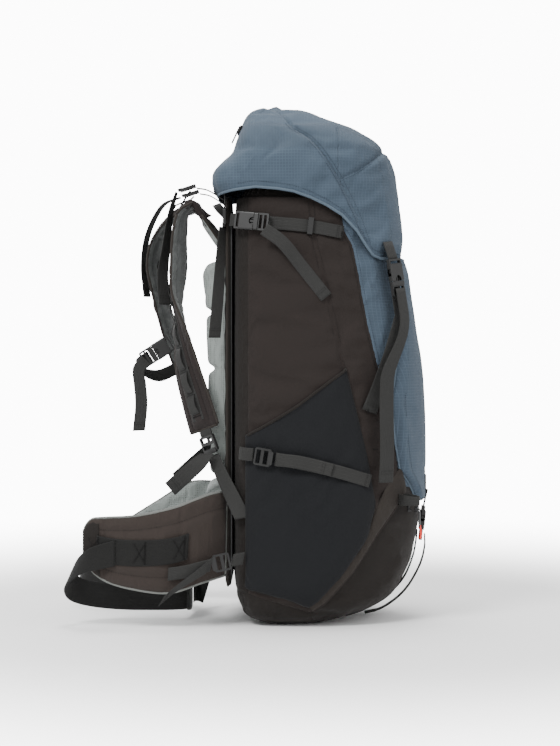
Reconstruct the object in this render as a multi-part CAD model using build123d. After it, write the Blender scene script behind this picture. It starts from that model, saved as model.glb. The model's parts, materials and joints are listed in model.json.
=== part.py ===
from build123d import *
import math
import os

# A hiking backpack of about 60 litres with a floating lid, a bottom compartment, side and front pockets,
# a padded harness and a hip belt. Millimetres. +X points away from the wearer, +Z up, and the wearer's left
# side is at -Y. The origin is the middle of the flat base on which the pack stands.

# ---- driving dimensions ------------------------------------------------------------------------------
BAG_TOP = 665
FABRIC = 3.0
FLOOR = 6.0
REAR_POWER = 5.0
FRONT_POWER = 2.5
WIDEST_AT = 0.42
WEBBING = 2.0
NARROW = 20
WIDE = 25
BELT = 40
SPLASH_LIFT = 4.0
POCKET_GAP = 11.0
POCKET_SHEET = 2.5

# The bag's section at a few heights: height, rear edge, front edge, half width.
BAG_ROWS = [
    (0, -62, 42, 104),
    (14, -88, 95, 131),
    (45, -103, 146, 147),
    (100, -108, 172, 154),
    (200, -108, 186, 158),
    (350, -108, 183, 158),
    (500, -108, 164, 155),
    (610, -107, 146, 150),
    (665, -104, 132, 143),
    (705, -98, 118, 134),
]
SECTION_POINTS = 36
LOFT_HEIGHTS = [0, 6, 14, 28, 45, 70, 100, 150, 200, 275, 350, 425, 500, 560, 610, 665, 705]


# ---- the bag's skin ----------------------------------------------------------------------------------
def spline_value(rows, column, at):
    """A smooth value through the rows' first column and the given one."""
    last = len(rows) - 1
    at = min(max(at, rows[0][0]), rows[last][0])
    i = max(k for k in range(last) if rows[k][0] <= at)
    t0, t1 = rows[i][0], rows[i + 1][0]
    v0, v1 = rows[i][column], rows[i + 1][column]
    chord = (v1 - v0) / (t1 - t0)

    def slope(k):
        if k in (0, last):
            return chord
        before = (rows[k][column] - rows[k - 1][column]) / (rows[k][0] - rows[k - 1][0])
        after = (rows[k + 1][column] - rows[k][column]) / (rows[k + 1][0] - rows[k][0])
        return 0.0 if before * after <= 0 else 2 * before * after / (before + after)

    s = (at - t0) / (t1 - t0)
    span = t1 - t0
    return (
        v0 * (2 * s**3 - 3 * s**2 + 1)
        + v1 * (3 * s**2 - 2 * s**3)
        + span * slope(i) * (s**3 - 2 * s**2 + s)
        + span * slope(i + 1) * (s**3 - s**2)
    )


def bag_section(z, grow=0.0):
    """Widest point along X, rear depth, front depth and half width of the bag at a height."""
    rear = spline_value(BAG_ROWS, 1, z)
    front = spline_value(BAG_ROWS, 2, z)
    half = spline_value(BAG_ROWS, 3, z)
    widest = rear + WIDEST_AT * (front - rear)
    return widest, widest - rear + grow, front - widest + grow, half + grow


def arch(share, power):
    """How wide a superellipse is, from 0 to 1, at a share of its depth."""
    return max(0.0, 1 - min(1.0, abs(share)) ** power) ** (1 / power)


def skin_side(x, z, side, grow=0.0):
    """The point of the bag's skin at x and z, on the side -1 or +1."""
    widest, rear, front, half = bag_section(z, grow)
    if x < widest:
        return Vector(x, side * half * arch((x - widest) / rear, REAR_POWER), z)
    return Vector(x, side * half * arch((x - widest) / front, FRONT_POWER), z)


def skin_front(y, z, grow=0.0):
    """The point of the bag's front skin at y and z."""
    widest, _, front, half = bag_section(z, grow)
    return Vector(widest + front * arch(y / half, FRONT_POWER), y, z)


def normal_of(surface, a, b):
    """Outward unit normal of a skin function at its two parameters."""
    step = 2.0
    along = surface(a + step, b) - surface(a - step, b)
    up = surface(a, b + step) - surface(a, b - step)
    normal = along.cross(up).normalized()
    point = surface(a, b)
    outward = Vector(point.X - bag_section(point.Z)[0], point.Y, 0)
    return normal if normal.dot(outward) > 0 else normal * -1


def section_wire(z, grow):
    """The closed outline of the bag's section at a height."""
    widest, rear, front, half = bag_section(z, grow)
    points = []
    for k in range(SECTION_POINTS):
        angle = 2 * math.pi * k / SECTION_POINTS
        c, s = math.cos(angle), math.sin(angle)
        power, depth = (FRONT_POWER, front) if c > 0 else (REAR_POWER, rear)
        x = widest + depth * math.copysign(abs(c) ** (2 / power), c)
        points.append(Vector(x, half * math.copysign(abs(s) ** (2 / power), s), z))
    return Wire([Edge.make_spline(points, periodic=True)])


def bag_loft(grow, low=0, high=705):
    """A closed solid of the bag's form between two heights, grown sideways."""
    heights = [low] + [z for z in LOFT_HEIGHTS if low + 4 < z < high - 4] + [high]
    return Solid.make_loft([section_wire(z, grow) for z in heights])


def gathered_loft(rows, inset=0.0):
    """A closed solid through (height, grow) rows of the bag's mouth section."""
    wires = []
    for z, grow in rows:
        wire = section_wire(BAG_TOP, grow - inset)
        wires.append(wire.moved(Location((0, 0, z - BAG_TOP))))
    return Solid.make_loft(wires)


# ---- general helpers ---------------------------------------------------------------------------------
def box_of(x, y, z):
    """A box from three (low, high) pairs."""
    centre = Location(((x[0] + x[1]) / 2, (y[0] + y[1]) / 2, (z[0] + z[1]) / 2))
    return centre * Box(x[1] - x[0], y[1] - y[0], z[1] - z[0])


def side_prism(points, y=(-400, 400)):
    """A prism whose outline is drawn in the XZ plane."""
    wire = Wire.make_polygon([Vector(px, y[0], pz) for px, pz in points], close=True)
    return Solid.extrude(Face(wire), Vector(0, y[1] - y[0], 0))


def front_prism(points, x=(-400, 400)):
    """A prism whose outline is drawn in the YZ plane."""
    wire = Wire.make_polygon([Vector(x[0], py, pz) for py, pz in points], close=True)
    return Solid.extrude(Face(wire), Vector(x[1] - x[0], 0, 0))


def through(points, count):
    """Evenly many points on a smooth line through a few given points, each a tuple of any length."""
    rows = [(k, *p) for k, p in enumerate(points)]
    last = len(points) - 1
    return [
        tuple(catmull(rows, column + 1, last * k / (count - 1)) for column in range(len(points[0])))
        for k in range(count)
    ]


def catmull(rows, column, at):
    """Catmull-Rom value at a position counted in points."""
    i = min(int(at), len(rows) - 2)
    s = at - i
    p1, p2 = rows[i][column], rows[i + 1][column]
    p0 = rows[i - 1][column] if i > 0 else 2 * p1 - p2
    p3 = rows[i + 2][column] if i + 2 < len(rows) else 2 * p2 - p1
    return p1 + 0.5 * s * (p2 - p0 + s * (2 * p0 - 5 * p1 + 4 * p2 - p3 + s * (3 * (p1 - p2) + p3 - p0)))


def band(stations, thickness, power=None):
    """A strip through (centre, half width vector) stations: flat webbing, or padded where a power is given."""
    wires = []
    for k, (centre, half) in enumerate(stations):
        before = stations[max(0, k - 1)][0]
        after = stations[min(len(stations) - 1, k + 1)][0]
        normal = (after - before).cross(half).normalized() * (thickness / 2)
        if power is None:
            corners = [centre + half + normal, centre - half + normal, centre - half - normal, centre + half - normal]
        else:
            angles = [2 * math.pi * (j + 0.5) / 12 for j in range(12)]
            corners = [
                centre
                + half * math.copysign(abs(math.cos(a)) ** power, math.cos(a))
                + normal * math.copysign(abs(math.sin(a)) ** power, math.sin(a))
                for a in angles
            ]
        wires.append(Wire.make_polygon(corners, close=True))
    return Solid.make_loft(wires, ruled=True)


def side_band(points, width, side, count=10, thickness=WEBBING):
    """Webbing over the bag's side along (x, z, lift off the skin) points."""
    stations = []
    line = through(points, count)
    for k, (x, z, lift) in enumerate(line):
        centre = skin_side(x, z, side)
        normal = normal_of(lambda a, b: skin_side(a, b, side), x, z)
        ahead = line[min(k + 1, count - 1)]
        behind = line[max(k - 1, 0)]
        tangent = skin_side(ahead[0], ahead[1], side) - skin_side(behind[0], behind[1], side)
        half = normal.cross(tangent).normalized() * (width / 2)
        stations.append((centre + normal * lift, half))
    return band(stations, thickness)


def free_band(points, width, count=12, thickness=WEBBING, power=None):
    """Webbing or padding in space: points are (x, y, z, width direction x, y, z)."""
    stations = []
    for x, y, z, wx, wy, wz in through(points, count):
        stations.append((Vector(x, y, z), Vector(wx, wy, wz).normalized() * (width / 2)))
    return band(stations, thickness, power)


def mirrored(points):
    """The same (x, y, z, width direction) points on the other side."""
    return [(x, -y, z, wx, -wy, wz) for x, y, z, wx, wy, wz in points]


def placed(shape, origin, pull, face):
    """A buckle or slider moved from its own frame: local +X along pull, local +Z along face."""
    return Plane(origin=origin, x_dir=pull, z_dir=face).location * shape


def group(*shapes):
    """Several separate solids as one node."""
    return Compound(children=[s for shape in shapes for s in shape.solids()])


# ---- hardware, each drawn in its own frame with the pull along +X --------------------------------------
BUCKLE_THICK = 9
BUCKLE_BAR = 8
LADDER_END = 24


def buckle_body(webbing):
    """How long a side-release buckle's socket is, without its bar."""
    return 10 + 0.65 * webbing


def buckle_length(webbing):
    """From the mouth of a socket to the end of its bar."""
    return buckle_body(webbing) + BUCKLE_BAR


def buckle_socket(webbing):
    """The female half of a side-release buckle: its mouth is at x 0 and its bar is at the +X end."""
    wide = webbing + 8
    deep = buckle_body(webbing)
    body = box_of((0, deep), (-wide / 2, wide / 2), (-BUCKLE_THICK / 2, BUCKLE_THICK / 2))
    body = fillet(body.edges().filter_by(Axis.X), 2.4)
    body -= box_of((-1, deep - 2.5), (-wide / 2 + 2, wide / 2 - 2), (-2.6, 2.6))
    body -= box_of((deep * 0.3, deep * 0.72), (-wide, wide), (-2.6, 2.6))
    body -= Location((1, 0, BUCKLE_THICK / 2 + 8)) * Cylinder(webbing * 0.3, 20)
    end = deep + BUCKLE_BAR
    ears = box_of((deep - 1, end), (-wide / 2 + 0.5, wide / 2 - 0.5), (-2.5, 2.5))
    ears -= box_of((deep + 1, end - 3), (-webbing / 2 - 0.5, webbing / 2 + 0.5), (-9, 9))
    return body + ears


def buckle_prong(webbing):
    """The male half: two spring arms and a guide reach into the socket, and the ladder is at the -X end."""
    wide = webbing + 7
    arm_out = webbing / 2 + 1.3
    reach = (buckle_body(webbing) - 5) / 22
    base = box_of((-7, -0.6), (-wide / 2, wide / 2), (-4, 4))
    base = fillet(base.edges().filter_by(Axis.X), 2.0)
    arm = [(-1, 0.42), (10, 0.66), (13, 1.0), (19, 0.98), (22, 0.7), (20, 0.52), (10, 0.4), (-1, 0.2)]
    for side in (-1, 1):
        corners = [Vector(x * reach if x > 0 else x, side * arm_out * y, -2) for x, y in arm]
        base += Solid.extrude(Face(Wire.make_polygon(corners, close=True)), Vector(0, 0, 4))
    base += box_of((-1, 14 * reach), (-1.6, 1.6), (-1.8, 1.8))
    ladder = box_of((-LADDER_END, -6), (-wide / 2, wide / 2), (-2.2, 2.2))
    ladder = fillet(ladder.edges().filter_by(Axis.Z).sort_by(Axis.X)[:2], 3)
    for low in (-21, -13.5):
        ladder -= box_of((low, low + 4.5), (-webbing / 2 - 0.5, webbing / 2 + 0.5), (-9, 9))
    return base + ladder


def ladder_lock(webbing):
    """A three-bar tension lock with a lifting lip at its +X end."""
    wide = webbing + 7
    frame = box_of((-13, 13), (-wide / 2, wide / 2), (-2.3, 2.3))
    frame = fillet(frame.edges().filter_by(Axis.Z), 3.5)
    for low in (-10, 1.5):
        frame -= box_of((low, low + 6.5), (-webbing / 2 - 0.5, webbing / 2 + 0.5), (-9, 9))
    lip = box_of((9, 16), (-wide / 2 + 3, wide / 2 - 3), (-0.5, 3.2))
    return frame + fillet(lip.edges().filter_by(Axis.Z), 2.5)


def strap_keeper(webbing):
    """A flat loop that holds a strap's loose end down."""
    wide = webbing + 6
    loop = box_of((-4, 4), (-wide / 2, wide / 2), (-3.9, 3.9))
    loop -= box_of((-9, 9), (-webbing / 2 - 0.6, webbing / 2 + 0.6), (-2.7, 2.7))
    return loop


def zipper_slider():
    """A zipper's slider body with a bridge, and a puller hanging from it along -Z."""
    body = box_of((-2, 2), (-5.5, 5.5), (-4, 4))
    body = fillet(body.edges().filter_by(Axis.X), 1.6)
    bridge = box_of((1.6, 5), (-4, 4), (-1.5, 1.5)) - box_of((1, 3.4), (-2, 2), (-4, 4))
    puller = box_of((3, 5.4), (-2.6, 2.6), (-28, -2.4))
    return body + bridge + fillet(puller.edges().filter_by(Axis.X), 2)


# ---- the bag -----------------------------------------------------------------------------------------
WEDGE = [(14, 22), (68, 88), (99, 133), (150, 215), (260, 215), (260, -5), (20, -5)]
BASE = [(-200, 52), (-85, 52), (14, 22), (20, -5), (-200, -5)]
REAR = [(-84, 690), (-84, 52), (-200, 52), (-200, 690)]
FRONT = [(52, 690), (64, 614), (100, 467), (128, 356), (150, 240), (150, 215), (260, 215), (260, 690)]
SIDE_POCKET = [
    (-86, 60), (-86, 215), (-78, 298), (66, 399), (78, 351), (98, 270), (112, 190), (99, 136), (62, 82), (16, 30),
]
FRONT_POCKET = [(84, 569), (92, 520), (102, 443), (124, 352), (119, 282), (112, 240), (68, 194), (26, 186)]
POCKET_RIM = 6


def bag_panels():
    """The bag's fabric, cut along its seams into panels."""
    shell = bag_loft(0, high=BAG_TOP) - bag_loft(-FABRIC, low=FLOOR, high=BAG_TOP)
    panels = {}
    for name, outline in (
        ("bottom_compartment", WEDGE),
        ("base_panel", BASE),
        ("back_panel", REAR),
        ("front_panel", FRONT),
    ):
        prism = side_prism(outline)
        panels[name] = shell & prism
        shell = shell - prism
    panels["side_panel_left"] = shell & box_of((-300, 300), (-300, 0), (-10, 800))
    panels["side_panel_right"] = shell & box_of((-300, 300), (0, 300), (-10, 800))
    return panels


COLLAR_ROWS = [(BAG_TOP + 0.4, -6), (BAG_TOP + 12, -10), (BAG_TOP + 24, -26)]


def snow_collar():
    """The drawn-in collar above the bag's mouth, under the lid."""
    return gathered_loft(COLLAR_ROWS) - gathered_loft(COLLAR_ROWS, 2.5)


def pocket_shell(prism, cavity):
    """A sewn-on pocket: a sheet held off the bag, closed by a rim where the prism isn't cut by the cavity."""
    outer = bag_loft(POCKET_GAP + POCKET_SHEET, low=20, high=640)
    middle = bag_loft(POCKET_GAP, low=20, high=640)
    inner = bag_loft(0.8, low=20, high=640)
    sheet = (outer - middle) & prism
    rim = ((middle - inner) & prism) - cavity
    return sheet + rim


def side_pocket(side):
    """A stretch pocket with a slanted open top."""
    y = (0, 300) if side > 0 else (-300, 0)
    prism = side_prism(SIDE_POCKET, y)
    outline = Face(Wire.make_polygon([Vector(px, 0, pz) for px, pz in SIDE_POCKET], close=True))
    inset = offset(outline, -POCKET_RIM)
    opened = Location((-8, 0, 12)) * inset
    cavity = Solid.extrude(inset.faces()[0], Vector(0, side * 300, 0))
    cavity += Solid.extrude(opened.faces()[0], Vector(0, side * 300, 0))
    return pocket_shell(prism, cavity)


def front_pocket():
    """The long front pocket, open under the lid."""
    full = FRONT_POCKET + [(-y, z) for y, z in reversed(FRONT_POCKET)]
    prism = front_prism(full, (60, 300))
    slim = [(y - POCKET_RIM, z + 3) for y, z in FRONT_POCKET]
    slim[0] = (slim[0][0], FRONT_POCKET[0][1] + 20)
    slim[-1] = (slim[-1][0], FRONT_POCKET[-1][1] + POCKET_RIM)
    cavity = front_prism(slim + [(-y, z) for y, z in reversed(slim)], (60, 300))
    return pocket_shell(prism, cavity)


def framesheet():
    """The stiff plastic sheet behind the back panel."""
    sheet = box_of((-111.5, -109.3), (-112, 112), (70, 640))
    return fillet(sheet.edges().filter_by(Axis.X), 30)


def frame_stays():
    """Two aluminium stays in sleeves inside the bag, along its rear wall."""
    stays = [box_of((-103.2, -100.2), (y - 7, y + 7), (110, 600)) for y in (-42, 42)]
    return group(*[fillet(s.edges().filter_by(Axis.X), 5) for s in stays])


def hydration_sleeve():
    """The flat inner sleeve for a drinking bladder."""
    sleeve = box_of((-99.5, -97.5), (-90, 90), (300, 590))
    return fillet(sleeve.edges().filter_by(Axis.X), 12)


# ---- the harness -------------------------------------------------------------------------------------
PAD_ROWS = [(228, -143), (300, -145), (400, -146), (480, -149), (548, -156), (572, -146)]


def back_pad(side):
    """One of the two long foam pads of the back, thicker at the shoulder blades."""
    rear = [(x, z) for z, x in PAD_ROWS]
    outline = [(-112, 572), (-112, 228)] + rear
    pad = side_prism(outline, (side * 60 - 42, side * 60 + 42))
    return fillet(pad.edges().filter_by(Axis.X), 8)


def lumbar_pad():
    """The pad at the small of the back, in one piece from hip to hip."""
    pad = box_of((-150, -112.3), (-104, 104), (70, 222))
    return fillet(pad.edges().filter_by(Axis.X), 24)


ARCH_WIDTH = 62
STRAP_THICK = 13
YOKE_LINE = [
    (-121, -50, 586, 0, 1, 0),
    (-138, -53, 612, 0, 1, 0),
    (-157, -58, 639, 0, 1, 0),
]
# Centre and width direction of the shoulder straps, from the hinge over the shoulder down to their ends.
LEFT_STRAP = [
    (-170, -63, 659, 0.1, 1, 0),
    (-187, -68, 648, 0.2, 1, 0.1),
    (-193, -75, 610, 0.3, 1, 0),
    (-194, -82, 560, 0.35, 1, 0),
    (-196, -87, 515, 0.2, 1, 0),
    (-190, -92, 462, -0.25, 1, -0.1),
    (-181, -98, 405, -0.6, 0.85, -0.25),
    (-166, -106, 352, -0.7, 0.75, -0.3),
    (-152, -113, 306, -0.75, 0.7, -0.3),
]
RIGHT_STRAP = [
    (-170, 63, 659, 0.1, 1, 0),
    (-207, 69, 650, 0.25, 1, 0.25),
    (-234, 74, 612, 0.3, 1, 0.1),
    (-243, 78, 568, 0.3, 1, 0),
    (-236, 82, 526, 0.3, 1, 0),
    (-220, 86, 470, 0.35, 1, 0.1),
    (-200, 92, 410, 0.4, 1, 0.1),
    (-176, 103, 352, 0.3, 0.95, 0.2),
    (-154, 114, 306, 0.2, 0.95, 0.3),
]


def harness_yoke():
    """The fixed ends of the shoulder straps, from the shoulder blades up to the bend."""
    pieces = [
        free_band(line, ARCH_WIDTH, 6, STRAP_THICK, 0.45) for line in (YOKE_LINE, mirrored(YOKE_LINE))
    ]
    return group(*pieces)


def shoulder_strap(line):
    """The padded strap from the bend over the shoulder to the tension lock."""
    return free_band(line, ARCH_WIDTH, 18, STRAP_THICK, 0.45)


SHOULDER_LOCK = (Vector(-145, -117, 283), Vector(0.28, -0.12, -0.95))
LOWER_LINE = [
    (-139, -118, 265, 0.75, -0.62, 0.3),
    (-124, -131, 234, 0.8, -0.55, 0.25),
    (-109, -142, 204, 0.9, -0.3, 0.2),
    (-92, -149, 170, 0.97, -0.05, 0.2),
]
LOWER_TAIL = [
    (-148, -126, 268, 0.8, -0.5, 0),
    (-162, -125, 252, 0.6, -0.3, -0.5),
    (-184, -116, 232, 0.6, -0.2, -0.7),
    (-206, -106, 212, 0.6, -0.2, -0.7),
]
LIFTER_LINE = [
    (-156.5, -64, 682.5, 0, 1, 0),
    (-148, -66.5, 680.5, 0, 1, 0),
    (-134, -72, 672, 0, 1, 0),
    (-118, -80, 661, 0, 1, 0),
]
LIFTER_TAIL_LEFT = [
    (-198, -60, 678, 0.1, 1, 0),
    (-207, -66, 645, 0.35, 1, 0),
    (-214, -74, 590, 0.7, 0.9, 0),
    (-219, -78, 545, 0.9, 0.6, 0),
    (-216, -78, 500, 1, 0.4, 0),
]
LIFTER_TAIL_RIGHT = [
    (-198, 60, 678, 0.1, 1, 0),
    (-228, 66, 664, 0.3, 1, 0),
    (-252, 72, 618, 0.4, 1, 0),
    (-259, 76, 566, 0.5, 1, 0),
    (-254, 78, 515, 0.5, 1, 0),
]
LIFTER_LOCK = (Vector(-180, -61, 684), Vector(-0.92, 0, -0.3))


def lock_at(place, face, webbing):
    """A tension lock at a (centre, pull) place."""
    return placed(ladder_lock(webbing), place[0], place[1], face)


# ---- the hip belt ------------------------------------------------------------------------------------
# Centre line, height direction and height of a hip wing, from the lumbar pad to the tip.
WING_ROWS_LEFT = [
    (-119, -119, 144, 0.02, 0, 1, 132),
    (-150, -146, 138, 0.06, 0, 1, 136),
    (-200, -160, 122, 0.06, 0, 1, 132),
    (-255, -160, 118, 0.03, 0, 1, 114),
    (-303, -150, 122, 0.0, 0, 1, 98),
    (-338, -136, 132, 0.0, 0, 1, 72),
]
WING_ROWS_RIGHT = [
    (-119, 119, 144, 0.02, 0, 1, 130),
    (-150, 146, 141, 0.1, 0, 1, 130),
    (-200, 158, 138, 0.16, 0, 1, 130),
    (-255, 156, 116, 0.22, 0, 1, 112),
    (-306, 145, 92, 0.25, 0, 1, 96),
    (-344, 129, 72, 0.25, 0, 1, 74),
]
WING_THICK = 13


def hip_wing(rows):
    """A padded wing of the hip belt."""
    stations = [
        (Vector(x, y, z), Vector(hx, hy, hz).normalized() * (height / 2))
        for x, y, z, hx, hy, hz, height in through(rows, 13)
    ]
    return band(stations, WING_THICK, 0.4)


BELT_LINE_LEFT = [
    (-288, -165, 118, 0, 0, 1),
    (-334, -156, 104, 0.25, 0, 1),
    (-360, -130, 80, 0.45, 0, 1),
    (-358, -98, 56, 0.4, 0, 1),
    (-330, -80, 44, 0.15, 0, 1),
    (-285, -70, 38, 0, 0, 1),
    (-235, -68, 37, 0, 0, 1),
    (-202, -66, 37, 0, 0, 1),
    (-185, -57, 37, 0, 0, 1),
    (-180, -43.5, 37, 0, 0, 1),
]
BELT_LINE_RIGHT = [
    (-298, 158, 92, 0.25, 0, 1),
    (-344, 148, 74, 0.3, 0, 1),
    (-366, 124, 58, 0.3, 0, 1),
    (-362, 96, 46, 0.2, 0, 1),
    (-332, 78, 40, 0.1, 0, 1),
    (-285, 70, 38, 0, 0, 1),
    (-235, 69, 37, 0, 0, 1),
    (-204, 64, 37, 0, 0, 1),
    (-188, 50, 37, 0, 0, 1),
    (-185.8, 30, 37, 0, 0, 1),
    (-185.8, 14, 37, 0, 0, 1),
]
BELT_TAIL = [
    (-174.2, 20, 37, 0, 0, 1),
    (-174.2, 46, 36, 0, 0.1, 1),
    (-168, 60, 34, 0, 0.2, 1),
    (-156, 64, 30, 0.3, 0.2, 1),
]
BELT_BUCKLE = Vector(-180, 2, 37)
STABILISER_LINE = [
    (-206, -170, 86, 0.05, 0, 1),
    (-180, -172, 90, 0.05, 0, 1),
    (-156, -169, 96, 0.1, 0, 1),
    (-144, -167, 99, 0.15, 0, 1),
]
STABILISER_LOCK = (Vector(-124, -160, 103), Vector(-0.95, -0.12, -0.2))
STABILISER_ANCHOR = [
    (-107, -158, 106, 0.2, 0, 1),
    (-101, -157, 107, 0.2, 0, 1),
    (-92, -155, 109, 0.2, 0, 1),
]
STABILISER_TAIL = [
    (-146, -173, 97, 0.2, 0, 1),
    (-166, -181, 84, 0.45, 0, 1),
    (-195, -184, 64, 0.6, 0, 1),
    (-216, -184, 46, 0.6, 0, 1),
]


# ---- the lid -----------------------------------------------------------------------------------------
# The lid's outline seen from the side, from its rear hem over the crown to its front hem.
LID_OUTLINE = [
    (-136, 700.3), (-141, 707), (-120, 728), (-98, 750), (-84, 780), (-66, 805), (-44, 815), (-10, 811), (24, 799),
    (60, 785), (98, 767), (124, 750), (139, 724), (146, 703), (146, 700.3),
]
LID_FLOOR = 700.3
LID_HALF = 151
LID_MIDDLE = 5
LID_STATIONS = [-1, -0.97, -0.9, -0.78, -0.6, -0.35, 0, 0.35, 0.6, 0.78, 0.9, 0.97, 1]
SKIRT_EDGE = [
    (-127, 678), (-104, 676), (-70, 682), (-22, 680), (14, 668), (58, 642), (84, 616), (100, 590), (112, 574),
    (165, 574), (165, 699.9), (-127, 699.9),
]


def lid_point(share, x, z):
    """Where a point of the lid's outline lies at a share of the lid's half width."""
    height = 0.42 + 0.58 * arch(share, 2.4)
    depth = 0.8 + 0.2 * arch(share, 4)
    return Vector(LID_MIDDLE + (x - LID_MIDDLE) * depth, share * LID_HALF, LID_FLOOR + (z - LID_FLOOR) * height)


def lid_pocket():
    """The stuffed lid pocket, crowned from side to side and drawn in at its corners."""
    wires = [
        Wire.make_polygon([lid_point(share, x, z) for x, z in LID_OUTLINE], close=True) for share in LID_STATIONS
    ]
    return Solid.make_loft(wires, ruled=True)


def lid_skirt():
    """The hem that hangs from the lid round the top of the bag."""
    shell = bag_loft(SPLASH_LIFT + 4 + 2.5, low=560) - bag_loft(SPLASH_LIFT + 4, low=560)
    return shell & side_prism(SKIRT_EDGE)


# The lid zipper's place on the outline, the outline's slope there and half the zipper's length.
ZIP_PLACE = (-87, 774)
ZIP_UP = Vector(0.42, 0, 0.91).normalized()
ZIP_OUT = Vector(-0.91, 0, 0.42).normalized()
ZIP_HALF = 84
ZIP_SLIDER_HALF = 72


def lid_zipper():
    """The lid pocket's zipper along its rear edge."""
    stations = []
    for k in range(9):
        share = (k / 4 - 1) * ZIP_HALF / LID_HALF
        stations.append((lid_point(share, *ZIP_PLACE) + ZIP_OUT * 3, ZIP_UP * 4))
    return band(stations, WEBBING)


def lid_slider():
    """The lid zipper's slider, near the left end of its run."""
    start = lid_point(0, *ZIP_PLACE) + ZIP_OUT * 8.5 + Vector(0, -ZIP_SLIDER_HALF, 0)
    return placed(zipper_slider(), start, ZIP_OUT, ZIP_UP)


LID_BUCKLE_Z = 534
LID_BUCKLE_Y = 106


def lid_buckle_frame(side):
    """Centre, pull and face of the lid's front buckle on one side; the pull runs up to the lid."""
    y = side * LID_BUCKLE_Y
    face = normal_of(skin_front, y, LID_BUCKLE_Z)
    up = (skin_front(y, LID_BUCKLE_Z + 20) - skin_front(y, LID_BUCKLE_Z - 20)).normalized()
    return skin_front(y, LID_BUCKLE_Z) + face * 20, up, face


UNDER_LADDER = 5.5


def lid_tab(side):
    """The short webbing that holds the socket to the lid's front corner."""
    centre, up, face = lid_buckle_frame(side)
    across = face.cross(up).normalized() * (WIDE / 2)
    start = buckle_length(WIDE) + 0.6
    return band([(centre + up * (start + s) - face * (0.2 * s), across) for s in (0, 8, 18)], WEBBING)


def lid_strap(side):
    """The webbing from the bag's side seam up to the lid buckle, and its loose end."""
    centre, up, face = lid_buckle_frame(side)
    across = face.cross(up).normalized()
    foot_x, foot_z = 102, 334
    foot = skin_side(foot_x, foot_z, side)
    outward = normal_of(lambda a, b: skin_side(a, b, side), foot_x, foot_z)
    held_top = centre - up * 8 - face * UNDER_LADDER
    held_low = centre - up * 52 - face * UNDER_LADDER
    flat = outward.cross(held_low - foot).normalized()
    flat = flat if flat.dot(across) > 0 else flat * -1
    strand = [(held_top, across * (WIDE / 2)), ((held_top + held_low) * 0.5, across * (WIDE / 2))]
    for k in range(8):
        s = k / 7
        point = held_low * (1 - s) + (foot + outward * 2.6) * s + outward * (9 * math.sin(math.pi * s))
        strand.append((point, (across * (1 - s) + flat * s).normalized() * (WIDE / 2)))
    loose_top = centre - up * 12 + face * UNDER_LADDER
    loose = [(loose_top, across * (WIDE / 2)), (loose_top - up * 40, across * (WIDE / 2))]
    for k in range(1, 9):
        s = k / 8
        z = (loose_top - up * 40).Z - 260 * s
        away = normal_of(lambda a, b: skin_side(a, b, side), 118, z)
        point = skin_side(118, z, side) + away * (20 + 5 * math.sin(math.pi * s))
        share = min(1.0, s * 2.5)
        loose.append(((loose_top - up * (40 + 260 * s)) * (1 - share) + point * share, across * (WIDE / 2)))
    return group(band(strand, WEBBING), band(loose, WEBBING))


REAR_LOCK = (Vector(-121, -116, 636), Vector(0, 0, -1))
REAR_STRAP = [(-119, -116, 672, 0, 1, 0), (-120, -116, 662, 0, 1, 0), (-121, -116, 652, 0, 1, 0)]
REAR_TAIL = [
    (-124, -118, 620, 0.5, 1, 0),
    (-127, -126, 570, 1, 1, 0),
    (-130, -130, 520, 1, 0.6, 0),
    (-136, -130, 448, 1, 0.5, 0),
]


# ---- straps and buckles on the bag -------------------------------------------------------------------
UPPER_Z = 626
UPPER_BUCKLE_X = -72


def upper_frame(side):
    """Centre, pull and face of the upper compression buckle; the pull runs back to its socket's tab."""
    face = normal_of(lambda a, b: skin_side(a, b, side), UPPER_BUCKLE_X, UPPER_Z)
    ahead = skin_side(UPPER_BUCKLE_X + 6, UPPER_Z - 0.6, side)
    behind = skin_side(UPPER_BUCKLE_X - 6, UPPER_Z + 0.6, side)
    return skin_side(UPPER_BUCKLE_X, UPPER_Z, side) + face * 8.5, (behind - ahead).normalized(), face


def upper_strap(side):
    """The upper compression webbing to the front seam, its loose end, and the tab behind the socket."""
    held = side_band([(-54, 625, 3.2), (-30, 623, 3.2), (12, 619, 3.2), (62, 610, 3.2)], NARROW, side)
    loose = side_band([(-57, 613, 20), (-30, 592, 20), (-2, 558, 10), (36, 510, 5)], NARROW, side)
    centre, pull, face = upper_frame(side)
    across = face.cross(pull).normalized() * (NARROW / 2)
    start = buckle_length(NARROW) + 0.6
    tab = band([(centre + pull * (start + s) - face * (0.4 * s), across) for s in (0, 5, 9)], WEBBING)
    return group(held, loose, tab)


LOWER_LIFT = POCKET_GAP + POCKET_SHEET + 4


def lower_frame(side):
    """Centre, pull and face of the lower compression lock."""
    face = normal_of(lambda a, b: skin_side(a, b, side), -58, 266)
    tangent = (skin_side(-52, 265, side) - skin_side(-64, 267, side)).normalized()
    return skin_side(-58, 266, side) + face * (LOWER_LIFT + 1), tangent, face


def lower_strap(side):
    """The lower compression webbing across the side pocket, its loose end and the tab behind its lock."""
    low, high = LOWER_LIFT, LOWER_LIFT + 4
    held = side_band([(-41, 263, low), (0, 256, low), (50, 244, low), (99, 228, low)], NARROW, side)
    loose = side_band([(-40, 262, high), (-10, 259, high), (18, 253, high), (44, 246, high)], NARROW, side)
    tab = side_band([(-86, 271, low), (-80, 270, low), (-74, 269, low)], NARROW, side, 3)
    return group(held, loose, tab)


FRONT_BUCKLE_Z = 146


def front_buckle_frame():
    """Centre, pull and face of the front pocket's buckle; the pull runs up to the pocket's tip."""
    up = Vector(0.1, 0, 1).normalized()
    face = Vector(1, 0, -0.1).normalized()
    return skin_front(0, FRONT_BUCKLE_Z) + Vector(13, 0, 0), up, face


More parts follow.
